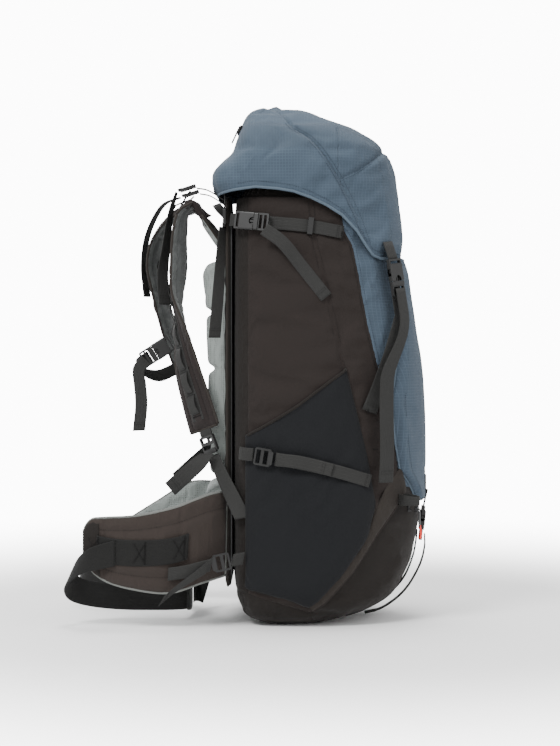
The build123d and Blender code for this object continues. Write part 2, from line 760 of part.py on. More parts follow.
FRONT_STRAP = [(186.2, 138), (184, 118), (179.5, 96), (168, 66), (149, 42), (120, 19.5), (86, 5.5), (62, 2.6)]
FRONT_LOOSE = [(199, 132), (199, 110), (191.5, 82), (174, 50), (154, 28), (128, 11), (102, 4)]


def front_strap():
    """The webbing from under the base up to the front buckle, its loose end and the tab on the pocket."""

    def strip(points, count):
        stations = [(Vector(x, 0, z), Vector(0, NARROW / 2, 0)) for x, z in through(points, count)]
        return band(stations, WEBBING)

    centre, up, face = front_buckle_frame()
    across = Vector(0, NARROW / 2, 0)
    start = buckle_length(NARROW) + 0.6
    tab = band([(centre + up * (start + s) + face * (0.25 * s), across) for s in (0, 8, 24)], WEBBING)
    return group(strip(FRONT_STRAP, 14), strip(FRONT_LOOSE, 12), tab)


def gear_loops():
    """Two webbing loops for trekking poles, low on the front corners."""
    loops = []
    for side in (-1, 1):
        foot = skin_side(152, 196, side)
        face = normal_of(lambda a, b: skin_side(a, b, side), 152, 196)
        outer = Cylinder(20, NARROW * 0.8) - Cylinder(18, 30)
        frame = Plane(origin=foot + face * 21.5, x_dir=face, z_dir=Vector(0, 0, 1))
        loops.append(frame.location * outer)
    return group(*loops)


def haul_loop():
    """The grab loop between the shoulder straps."""
    line = [
        (-116, -30, 628, 0, 0.5, 1), (-124, -30, 646, 0.3, 0.5, 1), (-134, -18, 658, 1, 0.2, 0.6),
        (-137, 0, 662, 1, 0, 0.4), (-134, 18, 658, 1, -0.2, 0.6), (-124, 30, 646, 0.3, -0.5, 1),
        (-116, 30, 628, 0, -0.5, 1),
    ]
    return free_band(line, 12, 19, WEBBING)


BOTTOM_ZIP_Z = 177
BOTTOM_ZIP_HALF = 96


def bottom_zipper():
    """The zipper of the bottom compartment, curved round the front."""
    stations = []
    for k in range(13):
        y = BOTTOM_ZIP_HALF * (k / 6 - 1)
        up = (skin_front(y, BOTTOM_ZIP_Z + 4) - skin_front(y, BOTTOM_ZIP_Z - 4)).normalized()
        stations.append((skin_front(y, BOTTOM_ZIP_Z) + normal_of(skin_front, y, BOTTOM_ZIP_Z) * 1.8, up * 4))
    return band(stations, WEBBING)


BOTTOM_SLIDER_Y = -72


def bottom_slider():
    """The bottom zipper's slider, near the left end of its run."""
    face = normal_of(skin_front, BOTTOM_SLIDER_Y, BOTTOM_ZIP_Z)
    flat = Vector(face.X, face.Y, 0).normalized()
    origin = skin_front(BOTTOM_SLIDER_Y, BOTTOM_ZIP_Z) + flat * 6.8
    return placed(zipper_slider(), origin, flat, Vector(0, 0, 1))


# ---- everything by node ------------------------------------------------------------------------------
def both(maker):
    """The same maker on the left and the right, as one node of separate solids."""
    return group(maker(-1), maker(1))


def bag_nodes():
    nodes = bag_panels()
    nodes["snow_collar"] = snow_collar()
    nodes["framesheet"] = framesheet()
    nodes["frame_stays"] = frame_stays()
    nodes["hydration_sleeve"] = hydration_sleeve()
    nodes["side_pocket_left"] = side_pocket(-1)
    nodes["side_pocket_right"] = side_pocket(1)
    nodes["front_pocket"] = front_pocket()
    nodes["bottom_zipper"] = bottom_zipper()
    nodes["bottom_zipper_slider"] = bottom_slider()
    nodes["gear_loops"] = gear_loops()
    nodes["haul_loop"] = haul_loop()
    return nodes


def strap_nodes():
    nodes = {}
    nodes["pack_ladder_locks"] = pack_locks()
    nodes["front_pocket_straps"] = front_strap()
    nodes["front_buckle_socket"] = placed(buckle_socket(NARROW), *front_buckle_frame())
    nodes["front_buckle_prong"] = placed(buckle_prong(NARROW), *front_buckle_frame())
    nodes["upper_straps"] = both(upper_strap)
    nodes["lower_straps"] = both(lower_strap)
    nodes["lid_front_straps"] = both(lid_strap)
    nodes["upper_buckle_sockets"] = both(lambda side: placed(buckle_socket(NARROW), *upper_frame(side)))
    for name, side in (("left", -1), ("right", 1)):
        nodes[f"upper_buckle_prong_{name}"] = placed(buckle_prong(NARROW), *upper_frame(side))
        nodes[f"lid_buckle_prong_{name}"] = placed(buckle_prong(WIDE), *lid_buckle_frame(side))
    nodes["strap_keepers"] = both(keeper)
    return nodes


def keeper(side):
    """The keeper on one upper compression strap."""
    face = normal_of(lambda a, b: skin_side(a, b, side), 12, 619)
    pull = (skin_side(20, 618, side) - skin_side(4, 620, side)).normalized()
    return placed(strap_keeper(NARROW), skin_side(12, 619, side) + face * 4.6, pull, face)


def pack_locks():
    """The tension locks sewn to the bag: lid rear, lower compression and hip stabiliser, on both sides."""
    locks = [placed(ladder_lock(NARROW), *lower_frame(side)) for side in (-1, 1)]
    for place, face in ((REAR_LOCK, Vector(-1, 0, 0)), (STABILISER_LOCK, Vector(0.1, -1, 0.05))):
        locks += pair_of_locks(place, face, NARROW)
    return group(*locks)


def pair_of_locks(place, face, webbing):
    """The same lock on the left and the right."""
    centre, pull = place
    other = (Vector(centre.X, -centre.Y, centre.Z), Vector(pull.X, -pull.Y, pull.Z))
    return [lock_at(place, face, webbing), lock_at(other, Vector(face.X, -face.Y, face.Z), webbing)]


def pair_of_bands(line, width, count):
    """The same webbing on the left and the right."""
    return [free_band(points, width, count) for points in (line, mirrored(line))]


def lid_nodes():
    nodes = {}
    nodes["lid_pocket"] = lid_pocket()
    nodes["lid_skirt"] = lid_skirt()
    nodes["lid_zipper"] = lid_zipper()
    nodes["lid_zipper_slider"] = lid_slider()
    nodes["lid_front_tabs"] = both(lid_tab)
    nodes["lid_buckle_sockets"] = both(lambda side: placed(buckle_socket(WIDE), *lid_buckle_frame(side)))
    nodes["lid_rear_straps"] = group(*pair_of_bands(REAR_STRAP, NARROW, 4), *pair_of_bands(REAR_TAIL, NARROW, 8))
    return nodes


STERNUM_PULL = Vector(0.84, 0, 0.54).normalized()
STERNUM_CENTRE = Vector(-236, 0, 424)
# The left webbing runs from the shoulder strap to the socket's bar, the right from its strap to the prong.
STERNUM_LEFT = [
    (-196, -58, 486, 0.3, 0, -1),
    (-198, -38, 476, 0.4, 0, -0.9),
    (-201, -16, 460, 0.5, 0, -0.85),
    (-206, -3, 446, 0.54, 0, -0.84),
]
STERNUM_RIGHT = [
    (-204, 56, 396, 0.2, 0, -1),
    (-232, 40, 386, 0.3, 0, -1),
    (-256, 20, 392, 0.5, 0, -0.9),
    (-262, 6.5, 404, 0.54, 0, -0.84),
    (-250, 5.6, 414, 0.54, 0, -0.84),
    (-244, 5.6, 418, 0.54, 0, -0.84),
]
STERNUM_TAIL = [
    (-250, -5.8, 412, 0.7, 0, -0.7),
    (-262, -7.5, 396, 1, 0, -0.4),
    (-260, -7, 372, 1, 0, 0.1),
    (-258, -6, 340, 1, 0, 0.05),
    (-262, -6, 298, 1, 0, 0.05),
]


def harness_nodes():
    nodes = {}
    nodes["back_pads"] = both(back_pad)
    nodes["lumbar_pad"] = lumbar_pad()
    nodes["harness_yoke"] = harness_yoke()
    nodes["shoulder_strap_left"] = shoulder_strap(LEFT_STRAP)
    nodes["shoulder_strap_right"] = shoulder_strap(RIGHT_STRAP)
    shoulder_locks = pair_of_locks(SHOULDER_LOCK, Vector(-0.66, -0.7, -0.2), WIDE)
    lifter_locks = pair_of_locks(LIFTER_LOCK, Vector(-0.3, 0, 0.92), NARROW)
    nodes["harness_locks"] = group(*shoulder_locks, *lifter_locks)
    nodes["lower_shoulder_straps"] = group(*pair_of_bands(LOWER_LINE, WIDE, 8))
    nodes["shoulder_tails"] = group(*pair_of_bands(LOWER_TAIL, WIDE, 8))
    nodes["load_lifters"] = group(*pair_of_bands(LIFTER_LINE, NARROW, 6))
    lifter_tails = [free_band(line, NARROW, 8) for line in (LIFTER_TAIL_LEFT, LIFTER_TAIL_RIGHT)]
    nodes["load_lifter_tails"] = group(*lifter_tails)
    nodes["sternum_strap_left"] = free_band(STERNUM_LEFT, NARROW, 8)
    nodes["sternum_strap_right"] = group(free_band(STERNUM_RIGHT, NARROW, 12), free_band(STERNUM_TAIL, NARROW, 8))
    sternum = (STERNUM_CENTRE, STERNUM_PULL, Vector(0, -1, 0))
    nodes["sternum_buckle_socket"] = placed(buckle_socket(NARROW), *sternum)
    nodes["sternum_buckle_prong"] = placed(buckle_prong(NARROW), *sternum)
    return nodes


def belt_nodes():
    nodes = {}
    nodes["hip_wing_left"] = hip_wing(WING_ROWS_LEFT)
    nodes["hip_wing_right"] = hip_wing(WING_ROWS_RIGHT)
    nodes["belt_webbing_left"] = free_band(BELT_LINE_LEFT, BELT, 20)
    nodes["belt_webbing_right"] = group(free_band(BELT_LINE_RIGHT, BELT, 24), free_band(BELT_TAIL, BELT, 8))
    frame = (BELT_BUCKLE, Vector(0, -1, 0), Vector(-1, 0, 0))
    nodes["belt_buckle_socket"] = placed(buckle_socket(BELT), *frame)
    nodes["belt_buckle_prong"] = placed(buckle_prong(BELT), *frame)
    for name, flip in (("left", list), ("right", mirrored)):
        strands = [free_band(flip(line), NARROW, 8) for line in (STABILISER_LINE, STABILISER_TAIL)]
        nodes[f"stabiliser_{name}"] = group(*strands)
    nodes["stabiliser_anchors"] = group(*pair_of_bands(STABILISER_ANCHOR, NARROW, 4))
    return nodes


def main():
    os.makedirs("parts", exist_ok=True)
    for nodes in (bag_nodes(), strap_nodes(), lid_nodes(), harness_nodes(), belt_nodes()):
        for name, shape in nodes.items():
            export_step(shape, f"parts/{name}.step")


if __name__ == "__main__":
    main()
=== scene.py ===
import json
import math
from contextlib import contextmanager

import bmesh
import bpy
import numpy as np
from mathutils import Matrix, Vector, noise

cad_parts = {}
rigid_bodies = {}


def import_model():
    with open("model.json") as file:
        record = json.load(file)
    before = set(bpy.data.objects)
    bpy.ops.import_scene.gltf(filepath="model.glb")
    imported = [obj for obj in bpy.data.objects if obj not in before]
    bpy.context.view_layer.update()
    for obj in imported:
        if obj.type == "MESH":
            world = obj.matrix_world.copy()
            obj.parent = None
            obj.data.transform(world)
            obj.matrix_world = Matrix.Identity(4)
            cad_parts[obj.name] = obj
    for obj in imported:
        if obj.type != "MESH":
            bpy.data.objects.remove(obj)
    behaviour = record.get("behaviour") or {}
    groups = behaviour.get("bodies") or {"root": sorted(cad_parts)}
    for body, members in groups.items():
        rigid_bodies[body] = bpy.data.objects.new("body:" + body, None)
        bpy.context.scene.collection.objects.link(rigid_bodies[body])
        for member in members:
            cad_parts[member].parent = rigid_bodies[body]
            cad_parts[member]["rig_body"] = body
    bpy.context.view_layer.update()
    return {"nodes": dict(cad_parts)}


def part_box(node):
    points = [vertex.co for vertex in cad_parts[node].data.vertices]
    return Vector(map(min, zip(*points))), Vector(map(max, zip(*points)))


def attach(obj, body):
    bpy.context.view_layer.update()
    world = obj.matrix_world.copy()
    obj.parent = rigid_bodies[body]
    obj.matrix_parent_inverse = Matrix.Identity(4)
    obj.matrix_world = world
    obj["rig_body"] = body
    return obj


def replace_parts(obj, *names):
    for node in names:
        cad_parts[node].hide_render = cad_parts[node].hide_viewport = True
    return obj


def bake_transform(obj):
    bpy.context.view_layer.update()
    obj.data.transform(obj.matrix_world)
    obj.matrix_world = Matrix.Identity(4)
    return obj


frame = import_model()

MM = 0.001
SIDES = (("left", -1), ("right", 1))

# ---- sizes that follow the CAD model, in millimetres ----------------------------------------------------
# Webbing: three widths and the usual thickness.
NARROW, WIDE, BELT = 20, 25, 40
THIN = 1.5
SKIN_COLUMNS = 216  # points round the bag and the lid
REAR_POWER, FRONT_POWER, WIDEST_AT = 5.0, 2.5, 0.42
BAG_TOP = 665
# The bag's section at a few heights: height, rear edge, front edge, half width.
BAG_ROWS = [
    (0, -62, 42, 104), (14, -88, 95, 131), (45, -103, 146, 147), (100, -108, 172, 154), (200, -108, 186, 158),
    (350, -108, 183, 158), (500, -108, 164, 155), (610, -107, 146, 150), (665, -104, 132, 143), (705, -98, 118, 134),
]
# The lid's section, from the low front hem up to the crown.
LID_ROWS = [
    (560, -118, 160, 160), (600, -119, 157, 159), (645, -122, 152, 157), (668, -130, 149, 157), (689, -142, 146, 157),
    (706, -136, 144, 156), (724, -116, 140, 154), (744, -101, 131, 147), (758, -97, 117, 137), (770, -93, 94, 125),
    (782, -89, 62, 107), (793, -84, 32, 88), (803, -76, 8, 62), (811, -64, -10, 36), (816, -54, -26, 14),
]


# ---- the skin ------------------------------------------------------------------------------------------
def row_value(rows, column, at):
    """A smooth value through the rows' first column and the given one."""
    last = len(rows) - 1
    at = min(max(at, rows[0][0]), rows[last][0])
    i = max(k for k in range(last) if rows[k][0] <= at)
    t0, t1, v0, v1 = rows[i][0], rows[i + 1][0], rows[i][column], rows[i + 1][column]
    span = t1 - t0

    def slope(k):
        if k in (0, last):
            return (v1 - v0) / span
        before = (rows[k][column] - rows[k - 1][column]) / (rows[k][0] - rows[k - 1][0])
        after = (rows[k + 1][column] - rows[k][column]) / (rows[k + 1][0] - rows[k][0])
        return 0.0 if before * after <= 0 else 2 * before * after / (before + after)

    s = (at - t0) / span
    return (
        v0 * (2 * s**3 - 3 * s**2 + 1)
        + v1 * (3 * s**2 - 2 * s**3)
        + span * slope(i) * (s**3 - 2 * s**2 + s)
        + span * slope(i + 1) * (s**3 - s**2)
    )


def section(z, grow=0.0, rows=None):
    """Widest point along X, rear depth, front depth and half width at a height."""
    rows = rows or BAG_ROWS
    rear, front, half = (row_value(rows, column, z) for column in (1, 2, 3))
    widest = rear + WIDEST_AT * (front - rear)
    return widest, widest - rear + grow, front - widest + grow, half + grow


def arch(share, power):
    """How wide a superellipse is, from 0 to 1, at a share of its depth."""
    return max(0.0, 1 - min(1.0, abs(share)) ** power) ** (1 / power)


def signed_power(value, power):
    return math.copysign(abs(value) ** power, value)


def ring_point(angle, z, grow=0.0, rows=None):
    """The skin's point at an angle round the bag, 0 at the front, and a height."""
    widest, rear, front, half = section(z, grow, rows)
    c, s = math.cos(angle), math.sin(angle)
    power, depth = (FRONT_POWER, front) if c > 0 else (REAR_POWER, rear)
    return Vector((widest + depth * signed_power(c, 2 / power), half * signed_power(s, 2 / power), z))


def skin_side(x, z, side, rows=None):
    """The skin's point at x and z, on the side -1 or +1."""
    widest, rear, front, half = section(z, rows=rows)
    depth, power = (rear, REAR_POWER) if x < widest else (front, FRONT_POWER)
    return Vector((x, side * half * arch((x - widest) / depth, power), z))


def skin_front(y, z):
    """The front skin's point at y and z."""
    widest, _, front, half = section(z)
    return Vector((widest + front * arch(y / half, FRONT_POWER), y, z))


def normal_of(surface, a, b):
    """Outward unit normal of a skin function at its two parameters."""
    along = surface(a + 2, b) - surface(a - 2, b)
    up = surface(a, b + 2) - surface(a, b - 2)
    normal = along.cross(up).normalized()
    point = surface(a, b)
    outward = Vector((point.x - section(point.z)[0], point.y, 0))
    return normal if normal.dot(outward) > 0 else -normal


def side_surface(side, rows=None):
    """The side of the bag, or of the lid with its rows, as a function of x and z."""
    return lambda x, z: skin_side(x, z, side, rows)


def through(points, count):
    """Evenly many points on a smooth line through a few given points, each a tuple of any length."""
    table = np.array(points, float)
    out = []
    for k in range(count):
        at = (len(table) - 1) * k / (count - 1)
        i = min(int(at), len(table) - 2)
        s = at - i
        p1, p2 = table[i], table[i + 1]
        p0 = table[i - 1] if i > 0 else 2 * p1 - p2
        p3 = table[i + 2] if i + 2 < len(table) else 2 * p2 - p1
        out.append(
            p1 + 0.5 * s * (p2 - p0 + s * (2 * p0 - 5 * p1 + 4 * p2 - p3 + s * (3 * (p1 - p2) + p3 - p0)))
        )
    return out


def line_value(line, at):
    """Straight interpolation in a list of (at, value)."""
    return float(np.interp(at, [p[0] for p in line], [p[1] for p in line]))


# ---- materials -----------------------------------------------------------------------------------------
def srgb(*values):
    """A colour given in 0 to 255 display values, as linear light."""
    out = [(v / 255) / 12.92 if v <= 10 else ((v / 255 + 0.055) / 1.055) ** 2.4 for v in values]
    return (*out, 1.0)


class Nodes:
    """A small helper that adds and links shader nodes."""

    def __init__(self, name, colour, roughness):
        self.material = bpy.data.materials.new(name)
        self.material.use_nodes = True
        self.tree = self.material.node_tree
        self.shader = self.tree.nodes["Principled BSDF"]
        self.shader.inputs["Base Color"].default_value = colour
        self.shader.inputs["Roughness"].default_value = roughness

    def add(self, kind, inputs=None, **settings):
        node = self.tree.nodes.new(kind)
        for key, value in settings.items():
            setattr(node, key, value)
        for key, value in (inputs or {}).items():
            if isinstance(value, bpy.types.NodeSocket):
                self.tree.links.new(value, node.inputs[key])
            else:
                node.inputs[key].default_value = value
        return node

    def math(self, operation, a, b=0.0):
        return self.add("ShaderNodeMath", {0: a, 1: b}, operation=operation).outputs[0]

    def noise(self, vector, scale, detail=3.0, roughness=0.55):
        inputs = {"Vector": vector, "Scale": scale, "Detail": detail, "Roughness": roughness}
        return self.add("ShaderNodeTexNoise", inputs).outputs["Fac"]

    def wave(self, value, period):
        """A 0 to 1 wave of a coordinate in metres."""
        turned = self.math("MULTIPLY", value, 2 * math.pi / period)
        return self.math("MULTIPLY_ADD", self.math("SINE", turned), 0.5)

    def mix_colour(self, factor, dark, light):
        node = self.add("ShaderNodeMix", {0: factor}, data_type="RGBA")
        for socket, value in ((6, dark), (7, light)):
            if isinstance(value, bpy.types.NodeSocket):
                self.tree.links.new(value, node.inputs[socket])
            else:
                node.inputs[socket].default_value = value
        return node.outputs[2]

    def link(self, output, name):
        self.tree.links.new(output, self.shader.inputs[name])

    def bump(self, height, distance, strength=1.0, before=None):
        inputs = {"Height": height, "Distance": distance, "Strength": strength}
        if before is not None:
            inputs["Normal"] = before
        return self.add("ShaderNodeBump", inputs).outputs["Normal"]


def shade(colour, factor):
    return (colour[0] * factor, colour[1] * factor, colour[2] * factor, 1.0)


def woven(name, colour, thread=0.6, ripstop=0.0, contrast=0.16, roughness=0.85, sheen=0.15, depth=0.25):
    """Woven cloth: threads both ways from the UV map in metres, with an optional ripstop grid."""
    m = Nodes(name, colour, roughness)
    uv = m.add("ShaderNodeUVMap").outputs[0]
    parts = m.add("ShaderNodeSeparateXYZ", {0: uv}).outputs
    warp = m.wave(parts[0], thread * MM)
    weft = m.wave(parts[1], thread * MM)
    weave = m.math("MULTIPLY", m.math("ADD", warp, weft), 0.5)
    place = m.add("ShaderNodeTexCoord").outputs["Object"]
    cloud = m.noise(place, 9, 4)
    fibre = m.noise(place, 900, 2)
    height = m.math("ADD", weave, m.math("MULTIPLY", fibre, 0.8))
    tone = m.math("ADD", m.math("MULTIPLY", cloud, 0.65), m.math("MULTIPLY", weave, 0.35))
    if ripstop:
        lines = []
        for axis in (0, 1):
            cell = m.math("PINGPONG", parts[axis], ripstop * MM / 2)
            lines.append(m.math("LESS_THAN", cell, 0.33 * MM))
        grid = m.math("MAXIMUM", lines[0], lines[1])
        height = m.math("ADD", height, m.math("MULTIPLY", grid, 1.6))
        tone = m.math("ADD", tone, m.math("MULTIPLY", grid, 0.55))
    m.link(
        m.mix_colour(tone, shade(colour, 1 - contrast * 1.4), shade(colour, 1 + contrast * 1.2)), "Base Color"
    )
    worn = m.math("ADD", m.math("MULTIPLY", cloud, 0.2), roughness - 0.1)
    m.link(worn, "Roughness")
    soft = m.bump(m.noise(place, 60, 3), 0.5 * MM, 0.35)
    m.link(m.bump(height, depth * MM, 0.7, soft), "Normal")
    m.shader.inputs["Sheen Weight"].default_value = sheen * 0.3
    m.shader.inputs["Sheen Roughness"].default_value = 0.45
    m.shader.inputs["Specular IOR Level"].default_value = 0.15
    return m.material


def webbing(name, colour, roughness=0.62):
    """Webbing: ribs across the strap and a herringbone along it."""
    m = Nodes(name, colour, roughness)
    parts = m.add("ShaderNodeSeparateXYZ", {0: m.add("ShaderNodeUVMap").outputs[0]}).outputs
    zig = m.math("PINGPONG", parts[0], 2.5 * MM)
    ribs = m.wave(m.math("ADD", parts[1], m.math("MULTIPLY", zig, 0.5)), 1.5 * MM)
    columns = m.wave(parts[0], 2.5 * MM)
    place = m.add("ShaderNodeTexCoord").outputs["Object"]
    fuzz = m.noise(place, 700, 2)
    height = m.math("ADD", m.math("MULTIPLY", ribs, 0.8), m.math("MULTIPLY", columns, 0.5))
    tone = m.math("ADD", m.math("MULTIPLY", height, 0.5), m.math("MULTIPLY", m.noise(place, 25, 3), 0.4))
    m.link(m.mix_colour(tone, shade(colour, 0.72), shade(colour, 1.28)), "Base Color")
    m.link(m.bump(m.math("ADD", height, m.math("MULTIPLY", fuzz, 0.3)), 0.35 * MM, 0.8), "Normal")
    m.shader.inputs["Sheen Weight"].default_value = 0.03
    m.shader.inputs["Specular IOR Level"].default_value = 0.2
    return m.material


def mesh_cloth(name, colour, hole=3.0):
    """Spacer mesh: rows of small round holes with a fuzzy face."""
    m = Nodes(name, colour, 0.9)
    place = m.add("ShaderNodeTexCoord").outputs["Object"]
    inputs = {"Vector": place, "Scale": 1 / (hole * MM), "Randomness": 0.25}
    cells = m.add("ShaderNodeTexVoronoi", inputs).outputs["Distance"]
    rim = m.add("ShaderNodeMapRange", {"Value": cells, "From Min": 0.16, "From Max": 0.42}).outputs[0]
    fuzz = m.noise(place, 1100, 3)
    tone = m.math("ADD", m.math("MULTIPLY", rim, 0.75), m.math("MULTIPLY", fuzz, 0.3))
    m.link(m.mix_colour(tone, shade(colour, 0.5), shade(colour, 1.15)), "Base Color")
    m.link(m.bump(m.math("ADD", rim, m.math("MULTIPLY", fuzz, 0.5)), 0.5 * MM, 0.8), "Normal")
    m.shader.inputs["Sheen Weight"].default_value = 0.2
    return m.material


def moulded(name, colour, roughness=0.42):
    """Moulded plastic: a fine spark-eroded grain, with a painted highlight that lightens its sharp edges."""
    m = Nodes(name, colour, roughness)
    place = m.add("ShaderNodeTexCoord").outputs["Object"]
    grain = m.noise(place, 1500, 2)
    blotch = m.noise(place, 120, 3)
    edge = m.add("ShaderNodeNewGeometry").outputs["Pointiness"]
    # Painted highlight: the colour is lightened up to 2.2 times along sharp convex edges, where light catches.
    edge_highlight = m.add("ShaderNodeMapRange", {"Value": edge, "From Min": 0.5, "From Max": 0.62}).outputs[0]
    m.link(m.mix_colour(edge_highlight, colour, shade(colour, 2.2)), "Base Color")
    m.link(m.math("ADD", m.math("MULTIPLY", blotch, 0.22), roughness - 0.1), "Roughness")
    m.link(m.bump(grain, 0.06 * MM, 0.5), "Normal")
    return m.material


def metal(name, colour, roughness):
    """Drawn aluminium with fine lines along its length."""
    m = Nodes(name, colour, roughness)
    m.shader.inputs["Metallic"].default_value = 1.0
    place = m.add("ShaderNodeTexCoord").outputs["Object"]
    stretched = m.add("ShaderNodeMapping", {"Vector": place, "Scale": (900, 900, 12)}).outputs[0]
    m.link(m.bump(m.noise(stretched, 1, 3), 0.05 * MM, 0.5), "Normal")
    return m.material


# Each material has its maker, its slot in the record, its colour and its maker's other settings in their order:
# for cloth the thread's pitch, the ripstop's pitch, contrast, roughness, sheen and relief.
LOOKS = {
    "lid_blue": (woven, "shell_blue", (63, 75, 87), 0.9, 4.4, 0.19, 0.82, 0.2),
    "ripstop_blue": (woven, "shell_blue", (65, 77, 89), 0.7, 4.4, 0.19, 0.8, 0.2),
    "binding_blue": (woven, "shell_blue", (78, 91, 103), 1.0, 0, 0.12, 0.8, 0.2),
    "brown": (woven, "shell_brown", (38, 33, 31), 0.8, 0, 0.13, 0.86, 0.15),
    "brown_light": (woven, "shell_brown", (44, 40, 37), 0.8, 0, 0.12, 0.85, 0.18),
    "brown_dark": (woven, "shell_brown", (31, 28, 26), 0.8, 0, 0.13, 0.86, 0.15),
    "slate": (woven, "stretch_slate", (24, 25, 27), 0.45, 0, 0.08, 0.9, 0.1, 0.15),
    "lining": (woven, "lining_grey", (120, 122, 124), 0.5, 0, 0.08, 0.7, 0.1, 0.12),
    "wing_brown": (woven, "pad_brown", (49, 43, 40), 0.7, 0, 0.12, 0.86, 0.2),
    "strap_outer": (woven, "pad_brown", (37, 32, 31), 0.7, 0, 0.12, 0.86, 0.2),
    "grey_mesh": (mesh_cloth, "pad_mesh_grey", (126, 132, 129)),
    "dark_mesh": (mesh_cloth, "pad_mesh_grey", (66, 69, 68), 2.4),
    "piping_grey": (woven, "pad_mesh_grey", (104, 106, 103), 0.6, 0, 0.1, 0.8, 0.2),
    "webbing": (webbing, "webbing_grey", (36, 36, 35)),
    "webbing_belt": (webbing, "webbing_belt", (15, 15, 14)),
    "thread_dark": (woven, "webbing_grey", (18, 17, 17), 0.4, 0, 0.1, 0.7, 0.1),
    "thread_blue": (woven, "shell_blue", (34, 42, 51), 0.4, 0, 0.1, 0.7, 0.1),
    "buckle": (moulded, "buckle_black", (8, 8, 8)),
    # Near-black sheet for the framesheet: painted shade in the gap behind the harness.
    "sheet": (moulded, "sheet_plastic", (15, 15, 16), 0.5),
    "zip": (webbing, "zip_black", (14, 14, 15)),
    "coil": (moulded, "zip_black", (12, 12, 13), 0.35),
    "slider": (moulded, "zip_slider_metal", (22, 22, 23), 0.3),
    "red": (moulded, "zip_puller_red", (196, 42, 28), 0.4),
    "aluminium": (metal, "stay_aluminium", (176, 178, 182), 0.35),
}
MATERIALS = {name: make(name, srgb(*colour), *rest) for name, (make, _, colour, *rest) in LOOKS.items()}


# ---- making pieces -------------------------------------------------------------------------------------
def piece(name, vertices, faces, material, body, uvs, smooth=True):
    """A mesh object from millimetres that rides on a body; uvs hold one pair of millimetres per vertex."""
    mesh = bpy.data.meshes.new(name)
    mesh.from_pydata([tuple(MM * c for c in v) for v in vertices], [], faces)
    obj = bpy.data.objects.new(name, mesh)
    bpy.context.scene.collection.objects.link(obj)
    layer = mesh.uv_layers.new(name="UVMap")
    table = np.array(uvs, float) * MM
    index = np.empty(len(mesh.loops), np.int64)
    mesh.loops.foreach_get("vertex_index", index)
    layer.data.foreach_set("uv", table[index].astype(np.float32).ravel())
    if smooth:
        mesh.shade_smooth()
    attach(obj, body)
    dress(obj, material)
    return obj


def dress(obj, material):
    """Gives a piece its one material."""
    obj.data.materials.clear()
    obj.data.materials.append(MATERIALS[material])


def twin(obj, name):
    """A copy of a piece on the same body."""
    copy = obj.copy()
    copy.data = obj.data.copy()
    bpy.context.scene.collection.objects.link(copy)
    copy.name = copy.data.name = name
    return copy


@contextmanager
def editing(obj):
    """Opens a piece's mesh for edits and writes it back."""
    mesh = bmesh.new()
    mesh.from_mesh(obj.data)
    yield mesh
    mesh.to_mesh(obj.data)
    mesh.free()


def face_outwards(obj):
    with editing(obj) as mesh:
        bmesh.ops.recalc_face_normals(mesh, faces=mesh.faces)


def grid_faces(rows, columns, closed=False, start=0):
    """Quads of a grid whose points are stored row by row."""
    faces = []
    for i in range(rows - 1):
        for j in range(columns if closed else columns - 1):
            k = (j + 1) % columns
            a, b = start + i * columns, start + (i + 1) * columns
            faces.append((a + j, a + k, b + k, b + j))
    return faces


def modify(obj, kind, **settings):
    """Adds a modifier and applies it."""
    modifier = obj.modifiers.new(kind, kind)
    for key, value in settings.items():
        setattr(modifier, key, value)
    bpy.context.view_layer.objects.active = obj
    with bpy.context.temp_override(object=obj, active_object=obj, selected_objects=[obj]):
        bpy.ops.object.modifier_apply(modifier=modifier.name)
    return obj


def join(pieces):
    """Several pieces on one body as one, named after the first."""
    with bpy.context.temp_override(
        object=pieces[0], active_object=pieces[0], selected_objects=pieces, selected_editable_objects=pieces
    ):
        bpy.ops.object.join()
    return pieces[0]


# Half of a strap's section, as shares of its half width and half thickness; the other half is its mirror image.
HALF_SECTION = [
    (-1, -0.35), (-0.97, -0.85), (-0.86, -1), (-0.4, -0.94), (0, -1), (0.4, -0.94), (0.86, -1), (0.97, -0.85), (1, -0.35),
]
STRAP_SECTION = HALF_SECTION + [(a, -b) for a, b in HALF_SECTION[::-1]]


def length_of(points):
    """How long a line of points is."""
    return sum((after - before).length for before, after in zip(points, points[1:]))


def normal_at(stations, k):
    """The face normal of a strap or pad at its station k."""
    before, after = stations[max(0, k - 1)][0], stations[min(len(stations) - 1, k + 1)][0]
    return (after - before).cross(stations[k][1]).normalized()


def strip(name, stations, thickness, material, body, fold=0.0):
    """Flat webbing through (centre, half width vector) stations, with rounded selvedges and closed ends.

    fold is the length of the end that is turned back and sewn.
    """
    vertices, uvs = [], []
    run = 0.0
    total = length_of([centre for centre, _ in stations])
    for k, (centre, half) in enumerate(stations):
        if k:
            run += (centre - stations[k - 1][0]).length
        normal = normal_at(stations, k)
        thick = thickness * (1.9 if fold and run > total - fold else 1.0) / 2
        for a, b in STRAP_SECTION:
            vertices.append(centre + half * a + normal * (thick * b))
            uvs.append((a * half.length, run))
    count = len(STRAP_SECTION)
    faces = grid_faces(len(stations), count, True)
    faces.append(tuple(range(count))[::-1])
    faces.append(tuple(range(len(vertices) - count, len(vertices))))
    obj = piece(name, vertices, faces, material, body, uvs)
    if fold:
        obj = join([obj, end_stitch(name + "_stitch", stations, thickness, fold, total, body)])
    return obj


def station_at(stations, distance):
    """The centre, half width vector and tangent at a distance along the stations."""
    run = 0.0
    for k in range(len(stations) - 1):
        step = (stations[k + 1][0] - stations[k][0]).length
        if run + step >= distance or k == len(stations) - 2:
            s = (distance - run) / step
            centre = stations[k][0].lerp(stations[k + 1][0], s)
            half = stations[k][1].lerp(stations[k + 1][1], s)
            return centre, half, (stations[k + 1][0] - stations[k][0]).normalized()
        run += step


